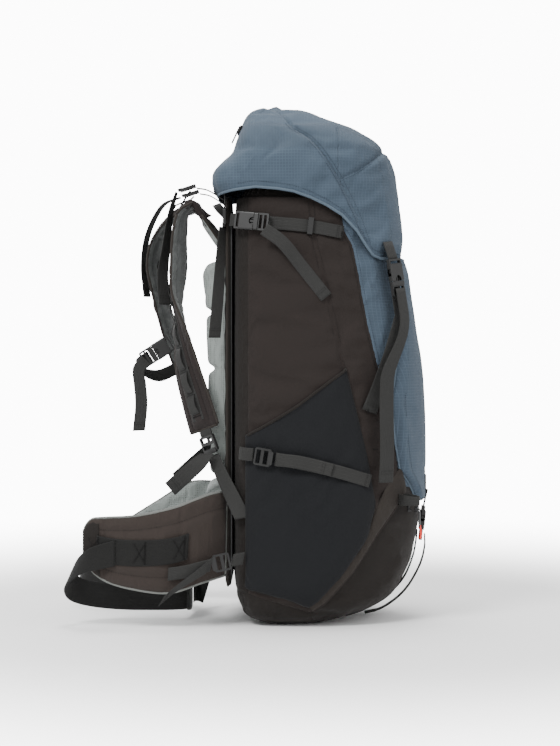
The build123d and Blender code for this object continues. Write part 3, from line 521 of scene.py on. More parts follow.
def dashes(name, segments, material, body, radius=0.35):
    """Stitches: a small rounded bead of thread for each (start, end) segment."""
    vertices, faces = [], []
    for start, end in segments:
        along = end - start
        side = along.orthogonal().normalized()
        other = along.normalized().cross(side)
        base = len(vertices)
        for share, size in ((0, 0.45), (0.25, 1.0), (0.75, 1.0), (1, 0.45)):
            for k in range(5):
                turn = 2 * math.pi * k / 5
                vertices.append(
                    start + along * share + (side * math.cos(turn) + other * math.sin(turn)) * radius * size
                )
        faces += grid_faces(4, 5, True, base)
        faces.append(tuple(range(base, base + 5))[::-1])
        faces.append(tuple(range(base + 15, base + 20)))
    return piece(name, vertices, faces, material, body, [(v[0], v[2]) for v in vertices])


def end_stitch(name, stations, thickness, fold, total, body):
    """Two rows of thread across a folded webbing end."""
    segments = []
    for distance in (total - fold * 0.82, total - fold * 0.62):
        centre, half, tangent = station_at(stations, distance)
        normal = tangent.cross(half).normalized()
        for k in range(6):
            a, b = -0.84 + k * 0.29, -0.84 + k * 0.29 + 0.2
            for face in (-1, 1):
                lift = normal * (face * thickness * 0.98)
                segments.append((centre + half * a + lift, centre + half * b + lift))
    return dashes(name, segments, "thread_dark", body, 0.3)


def seam_line(points, pitch=3.4, share=0.68):
    """Stitch segments along a line of points."""
    segments = []
    at = 0.0
    lengths = [(after - before).length for before, after in zip(points, points[1:])]
    total = sum(lengths)
    cumulative = np.concatenate([[0], np.cumsum(lengths)])
    table = np.array([tuple(p) for p in points])

    def at_distance(d):
        return Vector([float(np.interp(d, cumulative, table[:, c])) for c in range(3)])

    while at + pitch * share < total:
        segments.append((at_distance(at), at_distance(at + pitch * share)))
        at += pitch
    return segments


def cord_tube(name, points, radius, material, body, sides=8, closed=False):
    """A round cord, piping or binding roll along points."""
    vertices, uvs = [], []
    run = 0.0
    count = len(points)
    for k, point in enumerate(points):
        before = points[(k - 1) % count if closed else max(0, k - 1)]
        after = points[(k + 1) % count if closed else min(count - 1, k + 1)]
        tangent = (after - before).normalized()
        reference = Vector((0, 0, 1)) if abs(tangent.z) < 0.9 else Vector((1, 0, 0))
        side = tangent.cross(reference).normalized()
        other = tangent.cross(side)
        run += (point - points[k - 1]).length if k else 0.0
        for j in range(sides):
            turn = 2 * math.pi * j / sides
            vertices.append(point + (side * math.cos(turn) + other * math.sin(turn)) * radius)
            uvs.append((radius * turn, run))
    faces = grid_faces(count, sides, True)
    last = len(vertices) - sides
    if closed:
        faces += [(last + j, last + (j + 1) % sides, (j + 1) % sides, j) for j in range(sides)]
    else:
        faces += [tuple(range(sides))[::-1], tuple(range(last, len(vertices)))]
    return piece(name, vertices, faces, material, body, uvs)


def free_stations(points, width, count=40):
    """Stations of a strap in space: points are (x, y, z, width direction x, y, z)."""
    return [(Vector(p[:3]), Vector(p[3:6]).normalized() * (width / 2)) for p in through(points, count)]


def side_stations(points, width, side, count=40):
    """Stations of a strap over the bag's side along (x, z, lift) points."""
    line = through(points, count)
    surface = side_surface(side)
    stations = []
    for k, (x, z, lift) in enumerate(line):
        normal = normal_of(surface, x, z)
        ahead, behind = line[min(k + 1, count - 1)], line[max(k - 1, 0)]
        tangent = surface(ahead[0], ahead[1]) - surface(behind[0], behind[1])
        stations.append((surface(x, z) + normal * lift, normal.cross(tangent).normalized() * (width / 2)))
    return stations


def mirrored(points):
    """The same (x, y, z, width direction) points on the other side."""
    return [(x, -y, z, wx, -wy, wz) for x, y, z, wx, wy, wz in points]


def free_again(obj):
    """Takes a piece off its body."""
    obj.parent = None
    del obj["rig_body"]
    return obj


def resampled(points, count):
    """Points spread evenly along a line."""
    table = np.array([tuple(p) for p in points])
    steps = np.linalg.norm(np.diff(table, axis=0), axis=1)
    run = np.concatenate([[0], np.cumsum(steps)])
    at = np.linspace(0, run[-1], count)
    return [Vector([float(np.interp(d, run, table[:, c])) for c in range(3)]) for d in at]


def gauss(value, centre, width):
    return math.exp(-(((value - centre) / width) ** 2))


def ruffle(point, size, seed=0.0):
    """Smooth noise from -1 to 1 at a point in millimetres."""
    return noise.noise(Vector(point) / size + Vector((seed, seed * 1.7, -seed)))


def sim_cloth(obj, pinned, pressure, shrink=-0.03, frames=18, limit=5.0, stiffness=12, bending=0.4, keep=None):
    """Lets a piece settle as cloth and applies it; pinned holds one weight per vertex and limit caps the move."""
    group = obj.vertex_groups.new(name="pin")
    for index, weight in enumerate(pinned):
        group.add([index], float(weight), "REPLACE")
    before = np.empty(len(obj.data.vertices) * 3)
    obj.data.vertices.foreach_get("co", before)
    scene = bpy.context.scene
    scene.frame_set(1)
    modifier = obj.modifiers.new("Cloth", "CLOTH")
    settings = modifier.settings
    settings.quality = 6
    settings.mass = 0.25
    settings.tension_stiffness = settings.compression_stiffness = stiffness
    settings.shear_stiffness = stiffness / 2
    settings.bending_stiffness = bending
    settings.air_damping = 4
    settings.shrink_min = shrink
    settings.vertex_group_mass = "pin"
    settings.use_pressure = True
    settings.uniform_pressure_force = pressure
    settings.effector_weights.gravity = 0
    modifier.collision_settings.use_collision = False
    modifier.point_cache.frame_start, modifier.point_cache.frame_end = 1, frames
    for number in range(1, frames + 1):
        scene.frame_set(number)
    depsgraph = bpy.context.evaluated_depsgraph_get()
    settled = obj.evaluated_get(depsgraph).to_mesh()
    after = np.empty(len(before))
    settled.vertices.foreach_get("co", after)
    obj.evaluated_get(depsgraph).to_mesh_clear()
    obj.modifiers.remove(modifier)
    scene.frame_set(1)
    move = (after - before).reshape(-1, 3)
    size = np.linalg.norm(move, axis=1)
    cap = np.full(len(size), limit * MM) if keep is None else np.array(keep) * MM
    scale = np.where(size > 1e-9, cap * np.tanh(size / cap) / np.maximum(size, 1e-9), 0)
    obj.data.vertices.foreach_set("co", (before.reshape(-1, 3) + move * scale[:, None]).ravel())
    obj.data.update()
    return obj


def cut_seams(obj, seams):
    """Cuts a mesh along polylines drawn in the XZ plane, on both sides, so that its edges follow them."""
    with editing(obj) as mesh:
        for seam in seams:
            for (x0, z0), (x1, z1) in zip(seam, seam[1:]):
                a, b = Vector((x0, 0, z0)) * MM, Vector((x1, 0, z1)) * MM
                along = (b - a).normalized()
                normal = along.cross(Vector((0, 1, 0)))
                middle, reach = (a + b) / 2, (b - a).length / 2 + 0.5 * MM
                picked = set()
                for face in mesh.faces:
                    offset = face.calc_center_median() - middle
                    offset.y = 0
                    if abs(offset.dot(normal)) < 12 * MM and abs(offset.dot(along)) < reach:
                        picked.add(face)
                geometry = list(picked)
                geometry += list({e for f in picked for e in f.edges}) + list({v for f in picked for v in f.verts})
                if geometry:
                    bmesh.ops.bisect_plane(mesh, geom=geometry, dist=0.4 * MM, plane_co=middle, plane_no=normal)
        bmesh.ops.remove_doubles(mesh, verts=mesh.verts, dist=0.5 * MM)
    obj.data.shade_smooth()


def split_by(obj, chooser, looks):
    """Splits a piece into those named in looks, each with its material: chooser names a face's piece by its middle."""
    order = sorted(looks)
    obj.data.materials.clear()
    for name in order:
        obj.data.materials.append(MATERIALS[looks[name]])
    for polygon in obj.data.polygons:
        polygon.material_index = order.index(chooser(*(Vector(polygon.center) / MM)))
    out = {}
    for index, name in enumerate(order):
        out[name] = twin(obj, name)
        with editing(out[name]) as mesh:
            bmesh.ops.delete(mesh, geom=[f for f in mesh.faces if f.material_index != index], context="FACES")
            for face in mesh.faces:
                face.material_index = 0
        dress(out[name], looks[name])
    bpy.data.objects.remove(obj)
    return out


def thicken(obj, thickness=1.2):
    """Gives a cut-out piece of cloth its thickness, inwards."""
    return modify(obj, "SOLIDIFY", thickness=thickness * MM, offset=-1)


# ---- the bag -------------------------------------------------------------------------------------------
WEDGE = [(14, 22), (68, 88), (99, 133), (150, 215), (163, 216)]
FRONT_SEAM = [
    (52, 690), (64, 614), (77, 590), (86, 548), (93, 508), (101, 467), (128, 356), (144, 282), (150, 240), (150, 215),
]
REAR_SEAM = [(-84, 690), (-84, 52)]
BASE_SEAM = [(-120, 52), (-85, 52), (14, 22)]
SIDE_SEAM = [(13, 656), (19, 593), (35, 530), (52, 451), (66, 380), (79, 330)]
BAG_SEAMS = [WEDGE, FRONT_SEAM, REAR_SEAM, BASE_SEAM, SIDE_SEAM]
# Where straps press on the bag: XZ lines on its sides.
LOWER_PRESS = [(-86, 270), (99, 229)]
PRESSED = [[(-90, 628), (62, 610)], LOWER_PRESS, [(100, 340), (118, 500)]]
# The panels' outlines on the side, and the part of it that the front pocket hides.
WEDGE_AREA = [(14, 22), (68, 88), (99, 133), (150, 215), (300, 215), (300, -20), (20, -20)]
BASE_AREA = [(-200, 52), (-85, 52), (14, 22), (20, -20), (-200, -20)]
FRONT_POCKET_SIDE = [
    (112, 569), (125, 443), (160, 352), (160, 282), (150, 240), (210, 215), (250, 215), (250, 600), (112, 600),
]
# Each panel's material and CAD node.
BAG_PANELS = {
    "bag_bottom_front": ("brown_dark", "bottom_compartment"), "bag_base": ("brown_dark", "base_panel"),
    "bag_back": ("brown_dark", "back_panel"), "bag_front": ("ripstop_blue", "front_panel"),
    "bag_side_left": ("brown", "side_panel_left"), "bag_side_right": ("brown", "side_panel_right"),
}
# The raised diagonal band's two edges on the side.
BAND_LOW = [(161, 206), (136, 172), (112, 140), (98, 118), (78, 88), (52, 58), (34, 38), (16, 26)]
BAND_HIGH = [(152, 246), (128, 214), (114, 186), (101, 152), (86, 120), (62, 92), (36, 64), (4, 44)]


def distance_to(line, x, z):
    """How far a point is from a polyline in the XZ plane."""
    best = 1e9
    for (x0, z0), (x1, z1) in zip(line, line[1:]):
        dx, dz = x1 - x0, z1 - z0
        s = min(1.0, max(0.0, ((x - x0) * dx + (z - z0) * dz) / (dx * dx + dz * dz)))
        best = min(best, math.hypot(x - x0 - s * dx, z - z0 - s * dz))
    return best


def side_of(line, x, z):
    """Whether a point is on the +X side of a line of rising or falling z."""
    table = sorted((p[1], p[0]) for p in line)
    return x > float(np.interp(z, [t[0] for t in table], [t[1] for t in table]))


def inside(outline, x, z):
    """Whether a point is inside a polygon."""
    found = False
    for k, (x0, z0) in enumerate(outline):
        x1, z1 = outline[k - 1]
        if (z0 > z) != (z1 > z) and x < (x1 - x0) * (z - z0) / (z1 - z0) + x0:
            found = not found
    return found


def pressed_at(x, y, z):
    """How far a point of the bag is from a strap that presses on its side."""
    return min(distance_to(line, x, z) for line in PRESSED) if abs(y) > 60 else 99


def bag_panel(x, y, z):
    """The panel that a point of the bag belongs to."""
    if inside(WEDGE_AREA, x, z):
        return "bag_bottom_front"
    if inside(BASE_AREA, x, z):
        return "bag_base"
    if x < -84:
        return "bag_back"
    if side_of(FRONT_SEAM, x, z):
        return "bag_front"
    return "bag_side_left" if y < 0 else "bag_side_right"


def bag_form(x, y, z):
    """Soft form drawn on the bag's skin: slow bulges between its seams, and slanting pulls, in millimetres."""
    bulge = 2.4 * ruffle((x, y, z), 95, 3) + 1.5 * ruffle((x, y, z * 1.6), 46, 8)
    pull = 0.0
    if abs(y) > 60 and x < 130:
        slant = z + 0.55 * x
        wave = math.sin(slant / 12.0 + 2.0 * ruffle((x, y, z), 60, 4))
        pull += 1.7 * wave * gauss(x, -40, 70) * gauss(z, 470, 110)
    press = -1.6 * gauss(pressed_at(x, y, z), 0, 11)
    drape = 1.3 * ruffle((x * 1.0, y, z * 0.45), 26, 11) * gauss(z, 600, 90)
    return bulge + pull + press + drape


def make_bag():
    """The bag's shell: a ring-built skin, closed below, that is cut along its seams, settled and split into panels."""
    columns, heights = SKIN_COLUMNS, [*np.arange(3, 60, 4.0), *np.arange(60, 664, 5.6), BAG_TOP]
    turns = [2 * math.pi * k / columns for k in range(columns)]
    # The base closes in rings that shrink to a flat middle, stored from the middle outwards.
    rings, middle = 14, -12
    floor = []
    for r in range(rings):
        share = 1 - (r + 1) / (rings + 0.6)
        height = 3 - 2.6 * min(1.0, (1 - share) * 6)
        for turn in turns:
            p = ring_point(turn, 3)
            floor.append(Vector((middle + (p.x - middle) * share, p.y * share, height)))
    vertices = floor[::-1] + [ring_point(turn, z) for z in heights for turn in turns]
    uvs = []
    for v in vertices:
        across = v.y if abs(v.y) < 90 or v.x > 60 else v.x * math.copysign(1, v.y)
        uvs.append((across, v.z if v.z > 3 else v.x))
    faces = []
    for a in range(0, (rings - 1) * columns, columns):
        b = a + columns
        faces += [(a + j, b + j, b + (j + 1) % columns, a + (j + 1) % columns) for j in range(columns)]
    # The floor's last ring runs the other way round from the rows above it.
    last, up = (rings - 1) * columns, rings * columns
    for j in range(columns):
        k = (j + 1) % columns
        faces.append((last + columns - 1 - j, last + columns - 1 - k, up + k, up + j))
    faces.append(tuple(range(columns)))
    faces += grid_faces(len(heights), columns, True, up)
    obj = piece("bag", vertices, faces, "brown", "pack", uvs)
    face_outwards(obj)
    cut_seams(obj, BAG_SEAMS)
    pins, keep = [], []
    normals = [Vector(v.normal) for v in obj.data.vertices]
    for v, normal in zip(obj.data.vertices, normals):
        x, y, z = (c / MM for c in v.co)
        seam = min(distance_to(line, x, z) for line in BAG_SEAMS)
        pressed = pressed_at(x, y, z)
        held = z < 8 or z > BAG_TOP - 3 or seam < 1.0
        hidden = x < -92 or inside(FRONT_POCKET_SIDE, x, z) or z > 640
        pins.append(1.0 if held else (0.8 if pressed < 10 or hidden else 0.0))
        keep.append(1.2 if pressed < 14 or hidden else (2.0 if seam < 6 else 5.0))
        valley = -1.3 * math.exp(-((seam / 3.0) ** 2))
        soft = min(1.0, seam / 14) if not hidden else 0.2
        v.co += normal * MM * (bag_form(x, y, z) * soft * (0.0 if z < 6 else 1.0) + valley)
    sim_cloth(obj, pins, 1.6, -0.035, 16, keep=keep, bending=0.25)
    modify(obj, "SUBSURF", levels=1, render_levels=1)
    for name, panel in split_by(obj, bag_panel, {name: data[0] for name, data in BAG_PANELS.items()}).items():
        thicken(panel)
        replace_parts(panel, BAG_PANELS[name][1])


def drawn(line, count):
    """Evenly spread points along an XZ polyline."""
    return resampled([Vector((x, 0, z)) for x, z in line], count)


def on_side(line, side, lift, count=90):
    """Points over the bag's side along an XZ polyline, at a lift."""
    surface = side_surface(side)
    return [surface(p.x, p.z) + normal_of(surface, p.x, p.z) * lift for p in drawn(line, count)]


def bag_details():
    """Stitches beside the seams, and the raised diagonal band with its binding."""
    for name, side in SIDES:
        rows = []
        for line, shift in ((FRONT_SEAM[1:-1], -4.5), (SIDE_SEAM, 4.0), (SIDE_SEAM, -4.0)):
            shifted = [(x + shift, z) for x, z in line]
            rows += seam_line(on_side(shifted, side, 0.35, 140))
        dashes(f"side_seam_stitches_{name}", rows, "thread_dark", "pack")
        rows = seam_line(on_side([(x + 4.5, z) for x, z in FRONT_SEAM[1:-1]], side, 0.4, 140))
        dashes(f"front_seam_stitches_{name}", rows, "thread_blue", "pack")
        # The raised diagonal band between the side pocket and the bottom compartment.
        along, across = 64, 12
        upper, lower = drawn(BAND_HIGH, along), drawn(BAND_LOW, along)
        surface = side_surface(side)

        def inboard(p):
            """The x of a point, kept clear of the front."""
            return min(p.x, section(p.z)[0] + section(p.z)[2] - 6)

        vertices, uvs = [], []
        for k in range(along):
            wave = math.sin(k * 1.15 + 2.4 * ruffle((k * 9.0, 0, 0), 30, side))
            for j in range(across):
                s = j / (across - 1)
                p = upper[k].lerp(lower[k], s)
                pleat = 0.9 * wave * (0.35 + abs(s - 0.5))
                lift = 0.4 + 3.0 * math.sqrt(max(0.0, 1 - (2 * s - 1) ** 4)) + pleat * min(1.0, 4 * s, 4 * (1 - s))
                x = inboard(p)
                vertices.append(surface(x, p.z) + normal_of(surface, x, p.z) * lift)
                uvs.append((s * 38, k * 4.5))
        band = piece(f"side_band_{name}", vertices, grid_faces(along, across), "brown_light", "pack", uvs)
        modify(band, "SUBSURF", levels=1, render_levels=1)
        thicken(band, 1.0)
        edge = [surface(inboard(p), p.z) for p in lower]
        edge = [p + normal_of(surface, p.x, p.z) * 1.4 for p in edge]
        cord_tube(f"band_binding_{name}", resampled(edge, 90), 1.7, "brown", "pack")


def tack(centre, along, normal, length=11, width=2.2):
    """Zigzag bar tack segments."""
    across = along.cross(normal).normalized()
    out = []
    count = int(length / 1.1)
    for k in range(count):
        side = 1 if k % 2 else -1
        a = centre + along * (length * (k / count - 0.5)) - across * (width / 2 * side)
        b = centre + along * (length * ((k + 1) / count - 0.5)) + across * (width / 2 * side)
        out.append((a + normal * 0.5, b + normal * 0.5))
    return out


def make_collar():
    """The drawn-in collar of the bag's mouth, gathered by its cord."""
    columns, rows = 240, 16
    vertices, uvs = [], []
    for i in range(rows):
        s = i / (rows - 1)
        z = BAG_TOP + 0.6 + 25.5 * s
        grow = -6 - 21 * s**1.6
        for k in range(columns):
            turn = 2 * math.pi * k / columns
            uneven = ruffle((90 * math.cos(turn), 90 * math.sin(turn), 0), 40, 2)
            fold = (0.3 + 2.2 * s) * math.sin(34 * turn + 3 * uneven)
            p = ring_point(turn, BAG_TOP, grow + 0.7 * fold - 1.0)
            vertices.append(Vector((p.x, p.y, z + 0.6 * s * fold)))
            uvs.append((k * 3.8, z))
    obj = piece("collar", vertices, grid_faces(rows, columns, True), "brown_dark", "pack", uvs)
    thicken(obj, 1.0)
    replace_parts(obj, "snow_collar")
    ring = [ring_point(2 * math.pi * k / 120, BAG_TOP, -26.5) for k in range(120)]
    cord_tube(
        "collar_cord", [Vector((p.x, p.y, BAG_TOP + 26.0)) for p in ring], 1.6, "webbing", "pack", closed=True
    )


# ---- pockets -------------------------------------------------------------------------------------------
POCKET_RIM = [
    (-86, 298), (-86, 215), (-86, 130), (-86, 60), (-30, 46), (16, 30), (62, 82), (99, 136), (112, 190), (98, 270),
    (78, 351), (66, 399),
]
POCKET_MOUTH = [(-80, 298), (-8, 343), (66, 399)]


def make_side_pocket(name, side):
    """The stretch pocket: a stuffed sheet on the bag's side with a bound, slanted mouth."""
    # Each row runs from the mouth down to the rim; the middle of the rows is puffed out.
    rows, columns = 56, 61
    top, rim = drawn(POCKET_MOUTH, columns), drawn(POCKET_RIM, 181)
    low = resampled(rim, columns)
    outline = [(q.x, q.z) for q in rim]
    surface = side_surface(side)
    vertices, uvs, pins = [], [], []
    for i in range(rows):
        s = i / (rows - 1)
        for k in range(columns):
            p = top[k].lerp(low[k], s)
            edge = min(k, columns - 1 - k) / (columns - 1)
            depth = min(distance_to(outline[::6], p.x, p.z) / 26, 1.0)
            puff = math.sqrt(max(0.0, 1 - (1 - depth) ** 2))
            lift = 1.0 + 11.2 * puff
            lift += puff * (
                1.9 * ruffle((p.x, side * 9, p.z), 40, 5) + 1.3 * ruffle((p.x * 2, side, p.z * 0.6), 26, 6)
            )
            slant = math.sin((p.x - 0.9 * p.z) / 7 + 3 * ruffle((p.x, 0, p.z), 44, 7))
            lift += 1.2 * puff * slant * gauss(p.z, 215, 60)
            lift -= 2.2 * puff * gauss(distance_to(LOWER_PRESS, p.x, p.z), 0, 12)
            if s < 0.12:
                lift -= 3.2 * (1 - s / 0.12) * min(1.0, 4 * edge)
            vertices.append(surface(p.x, p.z) + normal_of(surface, p.x, p.z) * lift)
            uvs.append((p.x, p.z))
            pins.append(1.0 if depth < 0.05 or i == 0 or edge == 0 else 0.0)
    obj = piece(f"stretch_pocket_{name}", vertices, grid_faces(rows, columns), "slate", "pack", uvs)
    sim_cloth(obj, pins, 0.6 * side, -0.03, 12, limit=2.4, bending=0.15)
    modify(obj, "SUBSURF", levels=1, render_levels=1)
    modify(obj, "SOLIDIFY", thickness=1.1 * MM, offset=0)
    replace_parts(obj, f"side_pocket_{name}")
    hem = [vertices[k] + normal_of(surface, top[k].x, top[k].z) * 0.2 for k in range(columns)]
    cord_tube(f"pocket_hem_{name}", resampled(hem, 120), 2.3, "brown_dark", "pack")
    # Stitches run below the mouth's hem and inside the rim.
    below = 7.5
    line = []
    for k in range(columns):
        p = top[k] + Vector((0.2 * below, 0, -below))
        line.append(vertices[columns + k] + normal_of(surface, p.x, p.z) * 0.9)
    stitch = seam_line(line)
    stitch += seam_line(on_side([(x * 0.985 + 0.2, z) for x, z in outline], side, 1.9, 240))
    dashes(f"pocket_stitches_{name}", stitch, "thread_dark", "pack")
    cord_tube(f"pocket_binding_{name}", on_side(outline, side, 0.9, 240), 1.5, "brown_dark", "pack")


# Half the front pocket's outline, from its mouth down to its foot: y and z.
FRONT_POCKET = [(84, 569), (92, 520), (102, 443), (124, 352), (119, 282), (112, 240), (68, 194), (26, 186)]


def make_front_pocket():
    """The long pocket on the front, with a gathered foot, a bound mouth and a gusset at its sides."""
    rows, columns = 92, 64
    edge = [(z, y) for y, z in FRONT_POCKET][::-1]
    foot_z, mouth_z = edge[0][0], edge[-1][0]
    vertices, uvs, pins = [], [], []
    for i in range(rows):
        s = i / (rows - 1)
        z = foot_z + (mouth_z - foot_z) * s
        half = line_value(edge, z)
        for k in range(columns):
            t = 2 * k / (columns - 1) - 1
            y = half * t
            wall = min(1.0, (1 - abs(t)) * half / 9)
            foot = min(1.0, (z - foot_z) / 16)
            puff = math.sqrt(max(0.0, 1 - (1 - min(wall, foot)) ** 2))
            lift = 0.8 + 11.8 * puff
            lift += puff * (1.0 * ruffle((y, 0, z), 46, 9) + 0.7 * ruffle((y * 1.8, 4, z * 0.6), 24, 12))
            if z > 545:
                lift -= 3.0 * (z - 545) / 24 * (1 - abs(t) ** 3)
            vertices.append(skin_front(y, z) + normal_of(skin_front, y, z) * lift)
            uvs.append((y, z))
            pins.append(1.0 if i in (0, rows - 1) or k in (0, columns - 1) else 0.0)
    obj = piece("front_stretch_pocket", vertices, grid_faces(rows, columns), "ripstop_blue", "pack", uvs)
    sim_cloth(obj, pins, 0.5, -0.02, 12, limit=1.6, bending=0.2)
    modify(obj, "SUBSURF", levels=1, render_levels=1)
    modify(obj, "SOLIDIFY", thickness=1.1 * MM, offset=0)
    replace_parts(obj, "front_pocket")
    left, right = vertices[::columns], vertices[columns - 1::columns]
    line = resampled(left[::-1] + vertices[1:columns - 1] + right, 260)
    cord_tube("front_pocket_binding", line, 1.7, "binding_blue", "pack")
    cord_tube("front_pocket_hem", resampled(vertices[-columns:], 90), 2.3, "binding_blue", "pack")
    stitch = []
    for column in (3, columns - 4):
        stitch += seam_line([v + Vector((1.1, 0, 0)) for v in vertices[column::columns]])
    stitch += seam_line([v + Vector((1.2, 0, 0)) for v in vertices[(rows - 3) * columns:(rows - 2) * columns]])
    dashes("front_pocket_stitches", stitch, "thread_blue", "pack")
    # The foot of the pocket is faced with a patch that takes the buckle's tab.
    patch, patch_uv = [], []
    for i in range(18):
        for k in range(24):
            y = (k / 23 - 0.5) * (46 - 12 * i / 17)
            z = 188 + 40 * (1 - i / 17)
            patch.append(skin_front(y, z) + normal_of(skin_front, y, z) * (12.6 * min(1, (z - 184) / 13) + 1.2))
            patch_uv.append((y, z))
    thicken(piece("front_pocket_patch", patch, grid_faces(18, 24), "brown", "pack", patch_uv), 0.8)


# ---- the lid -------------------------------------------------------------------------------------------
HEM = [
    (-150, 668), (-127, 671), (-104, 675), (-72, 679), (-22, 675), (12, 663), (37, 651), (61, 636), (84, 612),
    (98, 590), (109, 575), (122, 570), (170, 570)
]
TOP_SEAM = [
    (-52, 814), (-35, 802), (-22, 782), (-13, 771), (9, 757), (25, 740), (43, 714), (57, 691), (69, 667),
    (84, 636), (100, 592)
]
BROW_SEAM = [(57, 692), (84, 706), (108, 723), (134, 746)]


def lid_form(x, y, z):
    """Soft folds of the stuffed lid, in millimetres off its plain form."""
    high = min(1.0, max(0.0, (z - 690) / 60))
    out = 2.6 * ruffle((x, y * 0.9, z), 74, 21) + 1.5 * ruffle((x, y, z * 1.7), 33, 22)
    out += 2.4 * math.sin((x * 0.8 + z * 0.35 + 14 * ruffle((x, y, z), 50, 23)) / 9.5) * gauss(z, 745, 34) * gauss(x, -40, 44)
    rim = max(0.0, 1 - distance_to(HEM, x, z) / 34)
    out += 1.5 * rim * math.sin((x + 0.8 * abs(y)) / 6.2 + 2 * ruffle((x, y, z), 30, 24))
    if x < -80 and abs(y) > 40:
        out -= 2.6 * gauss(x + 0.32 * (z - 700), -98, 7)
    return out * (0.55 + 0.45 * high)


def make_lid():
    columns = SKIN_COLUMNS
    profile = np.array([(r[0], r[2]) for r in LID_ROWS], float)
    heights = list(np.arange(562, 770, 5.2))
    for x in np.arange(90, -26, -4.6):
        heights.append(float(np.interp(-x, -profile[:, 1], profile[:, 0])))
    heights = sorted(set(round(z, 3) for z in heights if z < 815.8)) + [816]
    vertices, uvs = [], []
    for z in heights:
        for k in range(columns):
            turn = 2 * math.pi * k / columns
            p = ring_point(turn, z, rows=LID_ROWS)
            vertices.append(p)
            top = min(1.0, max(0.0, (z - 740) / 40))
            uvs.append(((p.x if abs(p.y) > 100 else p.y) * (1 - top) + p.x * top, p.z * (1 - top) + p.y * top))
    faces = grid_faces(len(heights), columns, True)
    first = (len(heights) - 1) * columns
    vertices.append(Vector((-40, 0, 816.4)))
    uvs.append((0, 0))
    faces += [(first + k, first + (k + 1) % columns, len(vertices) - 1) for k in range(columns)]
    obj = piece("lid", vertices, faces, "lid_blue", "lid", uvs)
    face_outwards(obj)
    cut_seams(obj, [HEM, TOP_SEAM, BROW_SEAM])
    with editing(obj) as mesh:
        middles = [(face, face.calc_center_median() / MM) for face in mesh.faces]
        below = [face for face, c in middles if c.z < line_value(HEM, c.x)]
        bmesh.ops.delete(mesh, geom=below, context="FACES")
    pins, keep = [], []
    normals = [Vector(v.normal) for v in obj.data.vertices]
    for v, normal in zip(obj.data.vertices, normals):
        x, y, z = (c / MM for c in v.co)
        hem = z - line_value(HEM, x)
        wide = abs(y) > 25 or x > 60
        seam = min(distance_to(TOP_SEAM, x, z), distance_to(BROW_SEAM, x, z)) if wide else 99
        pins.append(1.0 if hem < 1 or seam < 1 else (0.6 if hem < 12 else 0.0))
        keep.append(1.5 if hem < 10 else (2.0 if seam < 5 else 7.0))
        share = min(1.0, 0.35 + hem / 30) * min(1.0, 0.3 + seam / 10)
        valley = -2.0 * math.exp(-((seam / 3.2) ** 2))
        v.co += normal * MM * (lid_form(x, y, z) * share + valley)
    sim_cloth(obj, pins, 2.2, -0.05, 18, keep=keep, bending=0.3)
    modify(obj, "SUBSURF", levels=1, render_levels=1)


    def panel(x, _, z):
        if x > 55 and z > line_value(BROW_SEAM, x) - 1 and side_of(TOP_SEAM[:-1], x, z):
            return "lid_top_front"
        return "lid_front" if side_of(TOP_SEAM, x, z) else "lid_top"

    parts = split_by(obj, panel, dict.fromkeys(("lid_top", "lid_front", "lid_top_front"), "lid_blue"))
    for name, part in parts.items():
        thicken(part, 1.4)
        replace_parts(part, "lid_skirt" if name == "lid_front" else "lid_pocket")


def lid_line(line, side, lift, count=120):
    """Points over the lid's side along an XZ polyline, at a lift."""
    surface = side_surface(side, LID_ROWS)
    out = []
    for p in drawn(line, count):
        widest, rear, front, _ = section(p.z, 0, LID_ROWS)
        x = min(max(p.x, widest - rear + 1), widest + front - 1)
        out.append(surface(x, p.z) + normal_of(surface, x, p.z) * lift)
    return out


